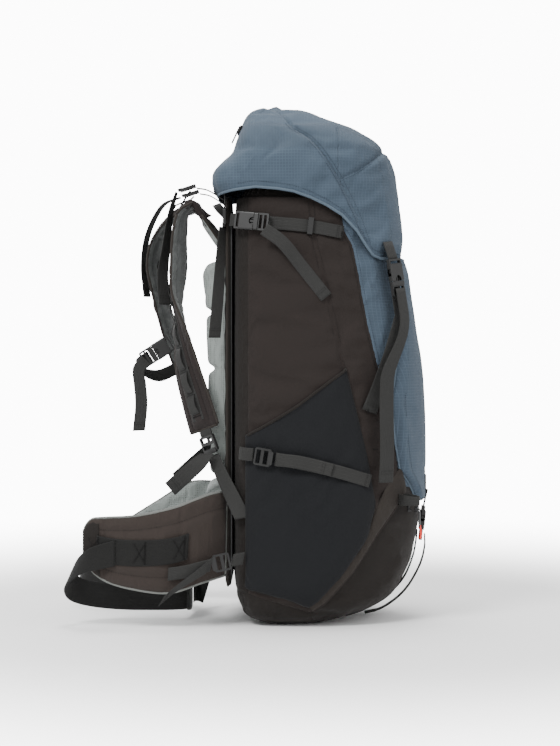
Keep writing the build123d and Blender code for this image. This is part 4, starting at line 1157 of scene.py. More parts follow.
def lid_details():
    hem_ring = []
    for k in range(420):
        turn = 2 * math.pi * k / 420
        z = 640.0
        for _ in range(12):
            p = ring_point(turn, z, rows=LID_ROWS)
            z = 0.5 * z + 0.5 * line_value(HEM, p.x)
        hem_ring.append(ring_point(turn, z + 0.6, 0.2, LID_ROWS))
    cord_tube("lid_hem_binding", hem_ring, 2.2, "binding_blue", "lid", closed=True)
    rows = []
    inner = [p + Vector((0, 0, 9)) for p in hem_ring]
    centre = Vector((0, 0, 0))
    lifted = []
    for p in inner:
        out = Vector((p.x - centre.x, p.y, 0)).normalized()
        lifted.append(p + out * 0.6)
    rows += seam_line(lifted, 3.6)
    for name, side in SIDES:
        for shift in (-4.5, 4.5):
            rows += seam_line(lid_line([(x + shift, z + 0.3 * shift) for x, z in TOP_SEAM[2:]], side, 1.3))
        rows += seam_line(lid_line([(x, z - 4) for x, z in BROW_SEAM[:-1]], side, 1.3, 60))
    dashes("lid_stitches", rows, "thread_blue", "lid")
    # The storm flap over the zipper at the lid's rear.
    vertices, uvs = [], []
    for i in range(14):
        s = i / 13
        for k in range(60):
            y = (k / 59 - 0.5) * 196
            bend = abs(y / 98) ** 3
            x = -64 - 22 * s + 16 * bend
            z = 806 - 27 * s - 20 * bend
            wave = 1.2 * ruffle((y, i * 4.0, 0), 26, 31) * s
            vertices.append(Vector((x - 4.4 * s - wave - 1.0, y, z + 1.6)))
            uvs.append((y, 30 * s))
    flap = piece("lid_storm_flap", vertices, grid_faces(14, 60), "lid_blue", "lid", uvs)
    modify(flap, "SUBSURF", levels=1, render_levels=1)
    thicken(flap, 1.4)
    cord_tube("storm_flap_binding", [vertices[13 * 60 + k] for k in range(60)], 1.7, "binding_blue", "lid")
    # The lining that closes the lid's underside.
    under, under_uv = [], []
    rings, columns = 12, 96
    for r in range(rings):
        share = (r + 0.4) / (rings - 0.6)
        for k in range(columns):
            p = ring_point(2 * math.pi * k / columns, 700, -5, LID_ROWS)
            under.append(
                Vector(
                    (
                        p.x * share + 4 * (1 - share), p.y * share,
                        700.6 + 0.8 * ruffle((p.x * share, p.y * share, 0), 30, 33)
                    )
                )
            )
            under_uv.append((p.x * share, p.y * share))
    faces = [
        (a + k, a + (k + 1) % columns, a + columns + (k + 1) % columns, a + columns + k) for a in range(0, (rings - 1) * columns, columns) for k in range(columns)
    ]
    faces.append(tuple(range(columns))[::-1])
    lining = piece("lid_lining", under, faces, "lining", "lid", under_uv)
    modify(lining, "SOLIDIFY", thickness=0.8 * MM, offset=-1)


def zip_line(name, points, outwards, tape, body, node):
    """A coil zipper: a tape and two rows of coil along points."""
    stations = []
    for k, point in enumerate(points):
        ahead, behind = points[min(k + 1, len(points) - 1)], points[max(k - 1, 0)]
        across = outwards[k].cross((ahead - behind).normalized()).normalized()
        stations.append((point, across * (tape / 2)))
    obj = strip(name, stations, 1.2, "zip", body)
    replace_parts(obj, node)
    vertices, faces = [], []
    table = resampled(
        points, int(sum((points[k + 1] - points[k]).length for k in range(len(points) - 1)) / 1.35)
    )
    outs = resampled([Vector(o) * 1000 for o in outwards], len(table))
    for k, point in enumerate(table):
        tangent = (table[min(k + 1, len(table) - 1)] - table[max(k - 1, 0)]).normalized()
        out = outs[k].normalized()
        across = out.cross(tangent).normalized()
        hand = 1 if k % 2 else -1
        centre = point + out * 1.3 + across * (0.5 * hand)
        base = len(vertices)
        for a, b, c in (
            (-1, -1, -1), (1, -1, -1), (1, 1, -1), (-1, 1, -1), (-1, -0.7, 1), (1, -0.7, 1), (1, 0.7, 1),
            (-1, 0.7, 1)
        ):
            vertices.append(centre + across * (a * 1.5) + tangent * (b * 0.5) + out * (c * 0.6))
        for face in ((0, 3, 2, 1), (4, 5, 6, 7), (0, 1, 5, 4), (1, 2, 6, 5), (2, 3, 7, 6), (3, 0, 4, 7)):
            faces.append(tuple(base + i for i in face))
    piece(name + "_coil", vertices, faces, "coil", body, [(v.x, v.z) for v in vertices], smooth=False)


# ---- pads ----------------------------------------------------------------------------------------------
def pad(
    name, stations, thickness, outer, inner, inner_side, body, nodes, seams=(), ends=(), piping="brown_light",
    pressure=2.0, across_seams=()
):
    """A foam pad through (centre, half width vector) stations: covered both sides, bound at its edges.

    seams are lengthwise quilting lines, from -1 to 1 of the width; across_seams are shares of the length.
    """
    around = 44
    vertices, uvs, pins, keep = [], [], [], []
    run = 0.0
    total = sum((stations[k + 1][0] - stations[k][0]).length for k in range(len(stations) - 1))
    edges = ([], [])
    tags = []
    for k, (centre, half) in enumerate(stations):
        if k:
            run += (centre - stations[k - 1][0]).length
        before, after = stations[max(0, k - 1)][0], stations[min(len(stations) - 1, k + 1)][0]
        normal = (after - before).cross(half).normalized()
        width = half.length
        tip = min(1.0, math.sqrt(max(0.0, min(run, total - run) / (thickness * 0.8) + 0.02)))
        for j in range(around):
            turn = 2 * math.pi * j / around
            a = signed_power(math.cos(turn), 0.55)
            b = signed_power(math.sin(turn), 0.6)
            dip = sum(math.exp(-(((a - s) * width / 3.4) ** 2)) for s in seams)
            dip += sum(math.exp(-(((run / total - s) * total / 3.4) ** 2)) for s in across_seams)
            crown = (0.74 + 0.26 * (1 - a * a)) * tip
            swell = 1 + 0.05 * ruffle((run, a * width, b * 20), 30, 41)
            lift = thickness / 2 * b * crown * swell * (1 - 0.34 * min(1.0, dip))
            vertices.append(centre + half * a * (0.985 if tip > 0.99 else 0.97) + normal * lift)
            uvs.append((a * width, run))
            edge = abs(a) > 0.985
            pins.append(1.0 if edge or dip > 0.85 or tip < 0.9 else 0.0)
            keep.append(1.0 if edge or dip > 0.4 else 2.6)
            tags.append(b * inner_side > 0.12)
        edges[0].append(centre + half * 0.995)
        edges[1].append(centre - half * 0.995)
    faces = grid_faces(len(stations), around, True)
    faces.append(tuple(range(around))[::-1])
    faces.append(tuple(range(len(vertices) - around, len(vertices))))
    obj = piece(name, vertices, faces, outer, body, uvs)
    face_outwards(obj)
    sim_cloth(obj, pins, pressure, -0.03, 14, keep=keep, bending=0.3)
    for polygon in obj.data.polygons:
        polygon.material_index = 0
    facing = obj.data.attributes.new("facing", "FLOAT", "POINT")
    facing.data.foreach_set("value", np.array(tags, np.float32))
    modify(obj, "SUBSURF", levels=1, render_levels=1)
    if inner:
        face = obj.copy()
        face.data = obj.data.copy()
        bpy.context.scene.collection.objects.link(face)
        face.name = face.data.name = name + "_facing"
        values = np.empty(len(face.data.vertices), np.float32)
        face.data.attributes["facing"].data.foreach_get("value", values)
        normals = [Vector(v.normal) for v in face.data.vertices]
        for v, normal in zip(face.data.vertices, normals):
            v.co += normal * (0.7 * MM)
        mesh = bmesh.new()
        mesh.from_mesh(face.data)
        mesh.verts.ensure_lookup_table()
        low = [v for v in mesh.verts if values[v.index] < 0.6]
        bmesh.ops.delete(mesh, geom=low, context="VERTS")
        mesh.to_mesh(face.data)
        mesh.free()
        face.data.attributes.remove(face.data.attributes["facing"])
        modify(face, "SOLIDIFY", thickness=1.0 * MM, offset=-1)
        dress(face, inner)
    obj.data.attributes.remove(obj.data.attributes["facing"])
    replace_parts(obj, *nodes)
    ring = edges[0] + edges[1][::-1]
    cord_tube(
        name + "_binding", resampled(ring + [ring[0]], 2 * len(stations) + 20)[:-1], 2.1, piping, body,
        closed=True
    )
    rows = []
    for s in seams:
        for side in (-1, 1):
            line = []
            for k, (centre, half) in enumerate(stations[2:-2]):
                before, after = stations[k + 1][0], stations[k + 3][0]
                normal = (after - before).cross(half).normalized()
                line.append(
                    centre + half * s + normal * (
                        side * thickness / 2 * 0.70 * (0.74 + 0.26 * (1 - s * s)) + side * 0.4
                    )
                )
            rows += seam_line(line, 4.0)
    if rows:
        dashes(name + "_stitches", rows, "thread_dark", body, 0.4)
    return obj


def pillow(name, centre, size, depth, outer, body, nodes=(), channels=(), cross=(), pressure=1.6):
    """A foam block on the bag's back: size is (width, height), depth a function of z for its thickness."""
    nu, nv = 48, max(40, int(size[1] / 5))
    a, b = size[0] / 2, size[1] / 2
    vertices, uvs, pins, keep = [], [], [], []

    def place(u, v, back):
        most = max(abs(u), abs(v), 1e-6)
        k = most / ((abs(u) ** 7 + abs(v) ** 7) ** (1 / 7) + 1e-9)
        y, z = centre[1] + a * u * k, centre[2] + b * v * k
        rim = min((1 - abs(u)) * a, (1 - abs(v)) * b)
        puff = math.sqrt(max(0.0, 1 - (1 - min(1.0, rim / 13)) ** 2))
        dip = sum(math.exp(-(((y - c) / 4.5) ** 2)) for c in channels)
        dip += sum(math.exp(-(((z - c) / 4.5) ** 2)) for c in cross)
        full = depth(z)
        out = 5 + (full - 5) * puff * (1 - 0.42 * min(1.0, dip)) + 0.8 * ruffle((y, 0, z), 30, 51) * puff
        return Vector((centre[0] - (out if back else -0.2), y, z)), dip, rim

    for i in range(nv):
        for k in range(nu):
            u, v = 2 * k / (nu - 1) - 1, 2 * i / (nv - 1) - 1
            p, dip, rim = place(u, v, True)
            vertices.append(p)
            uvs.append((p.y, p.z))
            pins.append(1.0 if rim < 0.5 or dip > 0.8 else 0.0)
            keep.append(1.0 if dip > 0.3 or rim < 4 else 2.4)
    faces = grid_faces(nv, nu)
    border = [k for k in range(nu)] + [i * nu + nu - 1 for i in range(1, nv)]
    border += [(nv - 1) * nu + k for k in range(nu - 2, -1, -1)] + [i * nu for i in range(nv - 2, 0, -1)]
    flat = len(vertices)
    for p in vertices[:flat]:
        vertices.append(Vector((centre[0], p.y, p.z)))
        uvs.append((p.y, p.z))
    pins += [1.0] * flat
    keep += [1.0] * flat
    faces += [tuple(flat + index for index in face[::-1]) for face in grid_faces(nv, nu)]
    count = len(border)
    faces += [
        (border[k], flat + border[k], flat + border[(k + 1) % count], border[(k + 1) % count]) for k in range(count)
    ]
    obj = piece(name, vertices, faces, outer, body, uvs)
    face_outwards(obj)
    sim_cloth(obj, pins, pressure, -0.03, 14, keep=keep, bending=0.3)
    modify(obj, "SUBSURF", levels=1, render_levels=1)
    if nodes:
        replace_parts(obj, *nodes)
    cord_tube(
        name + "_binding", resampled([vertices[k] for k in border] + [vertices[border[0]]], count)[:-1], 2.0,
        "brown_light", body, closed=True
    )
    return obj


BACK_DEPTH = [(228, 31), (300, 33), (400, 34), (480, 37), (548, 43), (572, 35)]


def make_pads():
    pillow(
        "back_pad_left", (-112, -60, 400), (84, 344), lambda z: line_value(BACK_DEPTH, z), "grey_mesh", "pack",
        ("back_pads",), channels=(-60,), cross=(312, 400, 488)
    )
    pillow(
        "back_pad_right", (-112, 60, 400), (84, 344), lambda z: line_value(BACK_DEPTH, z), "grey_mesh", "pack",
        channels=(60,), cross=(312, 400, 488)
    )
    # The back cover is a near-black layer wider than the pads: painted shade for the dark gap between the pads and the
    # bag's back.
    pillow("back_shade_cover", (-111.8, 0, 362), (236, 614), lambda z: 7.5, "brown_dark", "pack", pressure=0.8)
    pillow(
        "lumbar_cushion", (-112.4, 0, 146), (208, 152), lambda z: 37, "grey_mesh", "pack", ("lumbar_pad",),
        channels=(-36, 36), cross=(146,)
    )


YOKE_LINE = [(-121, -50, 586, 0, 1, 0), (-138, -53, 612, 0, 1, 0), (-157, -58, 639, 0, 1, 0)]
LEFT_STRAP = [
    (-170, -63, 659, 0.1, 1, 0), (-187, -68, 648, 0.2, 1, 0.1), (-193, -75, 610, 0.3, 1, 0),
    (-194, -82, 560, 0.35, 1, 0), (-196, -87, 515, 0.2, 1, 0), (-190, -92, 462, -0.25, 1, -0.1),
    (-181, -98, 405, -0.6, 0.85, -0.25), (-166, -106, 352, -0.7, 0.75, -0.3), (-152, -113, 306, -0.75, 0.7, -0.3),
]
RIGHT_STRAP = [
    (-170, 63, 659, 0.1, 1, 0), (-207, 69, 650, 0.25, 1, 0.25), (-234, 74, 612, 0.3, 1, 0.1),
    (-243, 78, 568, 0.3, 1, 0), (-236, 82, 526, 0.3, 1, 0), (-220, 86, 470, 0.35, 1, 0.1),
    (-200, 92, 410, 0.4, 1, 0.1), (-176, 103, 352, 0.3, 0.95, 0.2), (-154, 114, 306, 0.2, 0.95, 0.3),
]
WING_ROWS = {
    "left": [
        (-119, -119, 144, 0.02, 0, 1, 132), (-150, -146, 138, 0.06, 0, 1, 136), (-200, -160, 122, 0.06, 0, 1, 132),
        (-255, -160, 118, 0.03, 0, 1, 114), (-303, -150, 122, 0.0, 0, 1, 98), (-338, -136, 132, 0.0, 0, 1, 72),
    ],
    "right": [
        (-119, 119, 144, 0.02, 0, 1, 130), (-150, 146, 141, 0.1, 0, 1, 130), (-200, 158, 138, 0.16, 0, 1, 130),
        (-255, 156, 116, 0.22, 0, 1, 112), (-306, 145, 92, 0.25, 0, 1, 96), (-344, 129, 72, 0.25, 0, 1, 74),
    ],
}


def outer_line(stations, across, lift, face):
    """Points over a pad at a share of its width, off its face."""
    line = []
    for k, (centre, half) in enumerate(stations):
        before, after = stations[max(0, k - 1)][0], stations[min(len(stations) - 1, k + 1)][0]
        normal = (after - before).cross(half).normalized() * face
        line.append((centre + half * across + normal * lift, half.normalized(), normal))
    return line


def make_harness():
    for name, side in SIDES:
        yoke = YOKE_LINE if side < 0 else mirrored(YOKE_LINE)
        stations = free_stations(yoke, 62, 22)
        nodes = ("harness_yoke",) if side < 0 else ()
        pad(f"yoke_{name}", stations, 13, "strap_outer", "grey_mesh", 1, "pack", nodes)
        line = LEFT_STRAP if side < 0 else RIGHT_STRAP
        bend = [yoke[-2], yoke[-1], line[0], line[1]]
        bend = free_stations(bend, 58, 40)[5:35]
        bridge = strip(f"shoulder_bend_{name}", bend, 10, "strap_outer", "pack")
        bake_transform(free_again(bridge))
        stations = free_stations(line, 62, 108)
        pad(
            f"shoulder_pad_{name}", stations, 13, "strap_outer", "dark_mesh", 1, "harness", (f"shoulder_strap_{name}",),
            seams=(-0.62, 0.62), across_seams=(0.2, 0.46, 0.74), pressure=2.4,
        )
        # The tabs that hold the tension locks at the strap's two ends.
        low, top = Vector(line[1][:3]), Vector(line[-1][:3])
        run = [
            Vector((-176, side * 61, 680)), Vector((-180, side * 62, 675)), low + Vector((1, 0, 16)),
            low + Vector((-7, 0, 2))
        ]
        run = [(p, Vector((0, 10, 0))) for p in resampled(run, 14)]
        strip(f"lifter_lock_tab_{name}", run, 1.5, "webbing", "harness")
        end = stations[-1][1].normalized() * (WIDE / 2)
        lock = Vector((-147.5, side * 116, 292))
        run = [(p, end) for p in resampled([top + (top - lock) * 1.4, top, lock], 14)]
        strip(f"shoulder_lock_tab_{name}", run, 3.2, "webbing", "harness")
        # Webbing sewn down the outer face, with a daisy of loops.
        run = outer_line(stations, 0, 6.9, -1)
        straight = [(p, h * (WIDE / 2)) for p, h, n in run[34:104]]
        strip(f"shoulder_webbing_{name}", straight, 1.6, "webbing", "harness")
        rows = []
        for k in range(38, 104, 9):
            p, h, n = run[k]
            rows += tack(p + n * 0.8, h, n, 20, 2.4)
            loop = []
            if k + 9 < 104:
                for j in range(9):
                    q, hh, nn = run[k + j]
                    loop.append((q + nn * (1.2 + 4.2 * math.sin(math.pi * j / 8)), hh * 8))
                strip(f"daisy_loop_{name}_{k}", loop, 1.3, "webbing", "harness")
        dashes(f"shoulder_tacks_{name}", rows, "thread_dark", "harness", 0.38)


def make_wings():
    for name, side in SIDES:
        rows = through(WING_ROWS[name], 96)
        stations = [(Vector(r[:3]), Vector(r[3:6]).normalized() * (r[6] / 2)) for r in rows]
        # The tip is rounded off.
        shaped = []
        for k, (centre, half) in enumerate(stations):
            s = max(0.0, (k - 84) / 11)
            shaped.append((centre, half * math.sqrt(max(0.12, 1 - 0.72 * s**2.2))))
        pad(
            f"hip_pad_{name}", shaped, 13, "wing_brown", "grey_mesh", -side, "pack", (f"hip_wing_{name}",),
            seams=(-0.62, 0.62), across_seams=(0.36, 0.84), piping="piping_grey", pressure=2.4,
        )
        face = 1 if side > 0 else -1
        run = outer_line(shaped, 0, 9.0, face)
        strip(f"hip_webbing_{name}", [(p, h * 20) for p, h, n in run[30:82]], 1.7, "webbing_belt", "pack")
        tacks = []
        for k in (32, 52, 80):
            p, h, n = run[k]
            tacks += tack(p + n * 0.9, h, n, 36, 3)
            along = (run[k + 1][0] - run[k - 1][0]).normalized()
            for turn in (-1, 1):
                cross = (h * 0.86 + along * (0.5 * turn)).normalized()
                tacks += tack(p + n * 0.9 + along * 9, cross, n, 36, 1.2)
        dashes(f"hip_tacks_{name}", tacks, "thread_dark", "pack", 0.4)
        # The darker end panel that covers the wing's tip.
        cap, cap_uv = [], []
        for k in range(80, 95):
            centre, half = shaped[k]
            before, after = shaped[k - 1][0], shaped[min(k + 1, 95)][0]
            normal = (after - before).cross(half).normalized() * face
            for j in range(22):
                a = -0.96 + 1.92 * j / 21
                crown = 0.74 + 0.26 * (1 - a * a)
                cap.append(centre + half * a + normal * (6.5 * crown * (1 - abs(a) ** 6) + 1.0))
                cap_uv.append((a * half.length, k * 3.0))
        thicken(piece(f"wing_cap_{name}", cap, grid_faces(15, 22), "brown_dark", "pack", cap_uv), 0.8)


# ---- webbing -------------------------------------------------------------------------------------------
def make_bag_straps():
    for name, side in SIDES:
        surface = side_surface(side)
        held = side_stations([(-54, 625, 2.4), (-30, 623, 2.4), (12, 619, 2.4), (62, 610, 2.2)], NARROW, side)
        upper = strip(f"upper_strap_{name}", held, 1.5, "webbing", "pack", fold=12)
        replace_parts(upper, "upper_straps")
        loose = side_stations(
            [(-57, 613, 17.5), (-30, 592, 16), (-2, 558, 8), (36, 510, 4.2)], NARROW, side, 60
        )
        strip(f"upper_tail_{name}", loose, 1.5, "webbing", "pack", fold=17)
        held = side_stations([(-41, 263, 17), (0, 256, 16.6), (50, 244, 16.2), (99, 228, 14)], NARROW, side)
        lower = strip(f"lower_strap_{name}", held, 1.5, "webbing", "pack", fold=10)
        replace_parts(lower, "lower_straps")
        loose = side_stations([(-40, 262, 21), (-10, 259, 21.6), (18, 253, 20), (44, 246, 19)], NARROW, side)
        strip(f"lower_tail_{name}", loose, 1.5, "webbing", "pack", fold=20)
        tab = side_stations(
            [(-93, 272, 3.4), (-87, 271, 14), (-80, 270, 17), (-70, 269, 17.2)], NARROW, side, 20
        )
        strip(f"lower_tab_{name}", tab, 1.5, "webbing", "pack")
        centre, pull, face = upper_frame(side)
        across = face.cross(pull).normalized() * (NARROW / 2)
        start = 10 + 0.65 * NARROW + 8
        run = [
            centre + pull * (start - 3), centre + pull * (start + 4) - face * 2,
            centre + pull * (start + 10) - face * 6
        ]
        strip(f"upper_tab_{name}", [(p, across) for p in run], 1.5, "webbing", "pack")
        # The lid buckle's strap, its foot sewn into the seam, and its loose end.
        strand, loose = lid_strap(side)
        strap = strip(f"lid_strap_{name}", strand, 1.6, "webbing", "pack", fold=16)
        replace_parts(strap, "lid_front_straps")
        strip(f"lid_strap_tail_{name}", loose, 1.6, "webbing", "pack", fold=22)
        # The webbing loop for a pole, folded out from its foot.
        foot = skin_side(152, 196, side)
        face = normal_of(surface, 152, 196)
        along = Vector((0, 0, 1)).cross(face).normalized()
        loop = []
        for k in range(29):
            turn = math.pi * (0.06 + 1.88 * k / 28)
            loop.append(
                (
                    foot + face * (19.0 - 18.0 * math.cos(turn)) + along * (11.0 * math.sin(turn)),
                    Vector((0, 0, 8 + 1.5 * math.cos(turn)))
                )
            )
        gear = strip(f"gear_loop_{name}", loop, 1.6, "webbing", "pack")
        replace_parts(gear, "gear_loops")
        tacks = []
        for z in (604, 340):
            x = 60 if z == 604 else 100
            tacks += tack(
                surface(x, z) + normal_of(surface, x, z) * 3.4, Vector((0, 0, 1)), normal_of(surface, x, z), 15,
                2.4
            )
        for x, z in ((118, 405), (121, 362), (118, 318), (112, 276)):
            p = surface(x, z)
            n = normal_of(surface, x, z)
            tacks += tack(p + n * 2.4, Vector((1, 0, 0)), n, 9, 2.4)
        dashes(f"bag_tacks_{name}", tacks, "thread_dark", "pack", 0.4)
        rear = REAR_STRAP if side < 0 else mirrored(REAR_STRAP)
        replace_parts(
            strip(f"lid_rear_strap_{name}", free_stations(rear, NARROW, 16), 1.5, "webbing", "pack"),
            "lid_rear_straps"
        )
        tail = REAR_TAIL if side < 0 else mirrored(REAR_TAIL)
        strip(f"lid_rear_tail_{name}", free_stations(tail, NARROW, 50), 1.5, "webbing", "pack", fold=18)
    stations = [(Vector((x, 0, z)), Vector((0, NARROW / 2, 0))) for x, z in through(FRONT_STRAP, 50)]
    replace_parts(strip("front_strap", stations, 1.5, "webbing", "pack"), "front_pocket_straps")
    stations = [(Vector((x, 0, z)), Vector((0, NARROW / 2, 0))) for x, z in through(FRONT_LOOSE, 50)]
    strip("front_strap_tail", stations, 1.5, "webbing", "pack", fold=17)
    centre = skin_front(0, 146) + Vector((13, 0, 0))
    up, face = Vector((0.1, 0, 1)).normalized(), Vector((1, 0, -0.1)).normalized()
    run = [centre + up * (28 + s) + face * (0.1 * s) for s in (0, 8, 18, 30)]
    strip("front_tab", [(p, Vector((0, 10, 0))) for p in run], 1.5, "webbing", "pack", fold=12)
    line = [
        (-116, -30, 628, 0, 0.5, 1), (-124, -30, 646, 0.3, 0.5, 1), (-134, -18, 658, 1, 0.2, 0.6),
        (-137, 0, 662, 1, 0, 0.4), (-134, 18, 658, 1, -0.2, 0.6), (-124, 30, 646, 0.3, -0.5, 1),
        (-116, 30, 628, 0, -0.5, 1),
    ]
    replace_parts(strip("grab_loop", free_stations(line, 13, 60), 2.4, "webbing", "pack"), "haul_loop")


FRONT_STRAP = [(186.8, 138), (184.6, 118), (180, 96), (168, 66), (149, 42), (120, 19.5), (86, 5.5), (62, 2.6)]
FRONT_LOOSE = [(198.8, 132), (198.8, 110), (191.4, 82), (174, 50), (154, 28), (128, 11), (102, 4)]
REAR_STRAP = [(-121, -116, 674, 0, 1, 0), (-120, -116, 662, 0, 1, 0), (-121, -116, 650, 0, 1, 0)]
REAR_TAIL = [
    (-124, -118, 620, 0.5, 1, 0), (-127, -126, 570, 1, 1, 0), (-130, -130, 520, 1, 0.6, 0),
    (-136, -130, 448, 1, 0.5, 0)
]


def upper_frame(side):
    """Centre, pull and face of the upper compression buckle."""
    surface = side_surface(side)
    face = normal_of(surface, -72, 626)
    ahead, behind = surface(-66, 625.4), surface(-78, 626.6)
    return surface(-72, 626) + face * 8.5, (behind - ahead).normalized(), face


def lid_buckle(side):
    """Centre, pull and face of the lid's front buckle."""
    y = side * 106
    face = normal_of(skin_front, y, 534)
    up = (skin_front(y, 554) - skin_front(y, 514)).normalized()
    return skin_front(y, 534) + face * 20, up, face


def lid_strap(side):
    """Stations of the lid buckle's strand and of its loose end."""
    centre, up, face = lid_buckle(side)
    across = face.cross(up).normalized()
    surface = side_surface(side)
    foot = surface(102, 334)
    outward = normal_of(surface, 102, 334)
    held_top, held_low = centre - up * 8 - face * 4.6, centre - up * 52 - face * 4.6
    flat = outward.cross(held_low - foot).normalized()
    flat = flat if flat.dot(across) > 0 else -flat
    strand = [(held_top.lerp(held_low, k / 8), across * (WIDE / 2)) for k in range(8)]
    for k in range(26):
        s = k / 25
        point = held_low * (1 - s) + (foot + outward * 2.2) * s + outward * (9 * math.sin(math.pi * s))
        strand.append((point, (across * (1 - s) + flat * s).normalized() * (WIDE / 2)))
    top = centre - up * 12 + face * 4.6
    low = top - up * 40
    loose = [(top.lerp(low, k / 6), across * (WIDE / 2)) for k in range(6)]
    for k in range(0, 33):
        s = k / 32
        z = low.z - 260 * s
        away = normal_of(surface, 118, z)
        point = surface(118, z) + away * (20 + 5 * math.sin(math.pi * s) + 2.4 * math.sin(9 * s))
        share = min(1.0, s * 2.5)
        share = share * share * (3 - 2 * share)
        around = Vector((0, 0, 1)).cross(away).normalized()
        around = around if around.dot(across) > 0 else -around
        twist = across.lerp(around, share)
        loose.append(
            (low.lerp(low - up * (260 * s), 1.0) * (1 - share) + point * share, twist.normalized() * (WIDE / 2))
        )
    return strand, loose


def make_lid_straps():
    for name, side in SIDES:
        centre, up, face = lid_buckle(side)
        across = face.cross(up).normalized() * (WIDE / 2)
        start = 10 + 0.65 * WIDE + 8 - 2
        run = [centre + up * (start + s) - face * (0.2 * s) for s in (0, 6, 12, 20, 30)]
        tab = strip(f"lid_tab_{name}", [(p, across) for p in run], 1.6, "webbing", "lid")
        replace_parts(tab, "lid_front_tabs")


LOWER_LINE = [
    (-139, -118, 265, 0.75, -0.62, 0.3), (-124, -131, 234, 0.8, -0.55, 0.25), (-109, -142, 204, 0.9, -0.3, 0.2),
    (-92, -149, 170, 0.97, -0.05, 0.2),
]
LOWER_TAIL = [
    (-148, -126, 268, 0.8, -0.5, 0), (-162, -125, 252, 0.6, -0.3, -0.5), (-184, -116, 232, 0.6, -0.2, -0.7),
    (-206, -106, 212, 0.6, -0.2, -0.7),
]
LIFTER_LINE = [
    (-166, -62, 684, 0, 1, 0), (-150, -66, 681, 0, 1, 0), (-134, -72, 672, 0, 1, 0), (-118, -80, 661, 0, 1, 0)
]
LIFTER_TAIL = {
    "left": [
        (-198, -60, 678, 0.1, 1, 0), (-207, -66, 645, 0.35, 1, 0), (-214, -74, 590, 0.7, 0.9, 0),
        (-219, -78, 545, 0.9, 0.6, 0), (-216, -78, 500, 1, 0.4, 0),
    ],
    "right": [
        (-198, 60, 678, 0.1, 1, 0), (-228, 66, 664, 0.3, 1, 0), (-252, 72, 618, 0.4, 1, 0), (-259, 76, 566, 0.5, 1, 0),
        (-254, 78, 515, 0.5, 1, 0),
    ],
}
BELT_LINE = {
    "left": [
        (-288, -165, 118, 0, 0, 1), (-334, -156, 104, 0.25, 0, 1), (-360, -130, 80, 0.45, 0, 1), (-358, -98, 56, 0.4, 0, 1),
        (-330, -80, 44, 0.15, 0, 1), (-285, -70, 38, 0, 0, 1), (-235, -68, 37, 0, 0, 1), (-202, -66, 37, 0, 0, 1),
        (-185, -57, 37, 0, 0, 1), (-180, -43.5, 37, 0, 0, 1),
    ],
    "right": [
        (-298, 158, 92, 0.25, 0, 1), (-344, 148, 74, 0.3, 0, 1), (-366, 124, 58, 0.3, 0, 1), (-362, 96, 46, 0.2, 0, 1),
        (-332, 78, 40, 0.1, 0, 1), (-285, 70, 38, 0, 0, 1), (-235, 69, 37, 0, 0, 1), (-204, 64, 37, 0, 0, 1),
        (-188, 50, 37, 0, 0, 1), (-185.4, 30, 37, 0, 0, 1), (-185.4, 14, 37, 0, 0, 1),
    ],
}
BELT_TAIL = [
    (-174.6, 20, 37, 0, 0, 1), (-174.6, 46, 36, 0, 0.1, 1), (-168, 60, 34, 0, 0.2, 1),
    (-156, 64, 30, 0.3, 0.2, 1)
]
STABILISER_LINE = [
    (-206, -170, 86, 0.05, 0, 1), (-180, -172, 90, 0.05, 0, 1), (-156, -169, 96, 0.1, 0, 1),
    (-140, -166, 100, 0.15, 0, 1)
]
STABILISER_ANCHOR = [(-108, -158.5, 106, 0.2, 0, 1), (-101, -157, 107, 0.2, 0, 1), (-90, -154, 109, 0.2, 0, 1)]
STABILISER_TAIL = [
    (-146, -173, 97, 0.2, 0, 1), (-166, -181, 84, 0.45, 0, 1), (-195, -184, 64, 0.6, 0, 1),
    (-216, -184, 46, 0.6, 0, 1)
]
STERNUM_LEFT = [
    (-194, -66, 490, 0.3, 0, -1), (-198, -38, 476, 0.4, 0, -0.9), (-201, -16, 460, 0.5, 0, -0.85),
    (-206, -3, 446, 0.54, 0, -0.84)
]
STERNUM_RIGHT = [
    (-204, 62, 398, 0.2, 0, -1), (-232, 40, 386, 0.3, 0, -1), (-256, 20, 392, 0.5, 0, -0.9), (-262, 6.5, 404, 0.54, 0, -0.84),
    (-250, 5.4, 414, 0.54, 0, -0.84), (-244, 5.2, 418, 0.54, 0, -0.84),
]
STERNUM_TAIL = [
    (-250, -5.6, 412, 0.7, 0, -0.7), (-262, -7.5, 396, 1, 0, -0.4), (-260, -7, 372, 1, 0, 0.1), (-258, -6, 340, 1, 0, 0.05),
    (-262, -6, 298, 1, 0, 0.05),
]


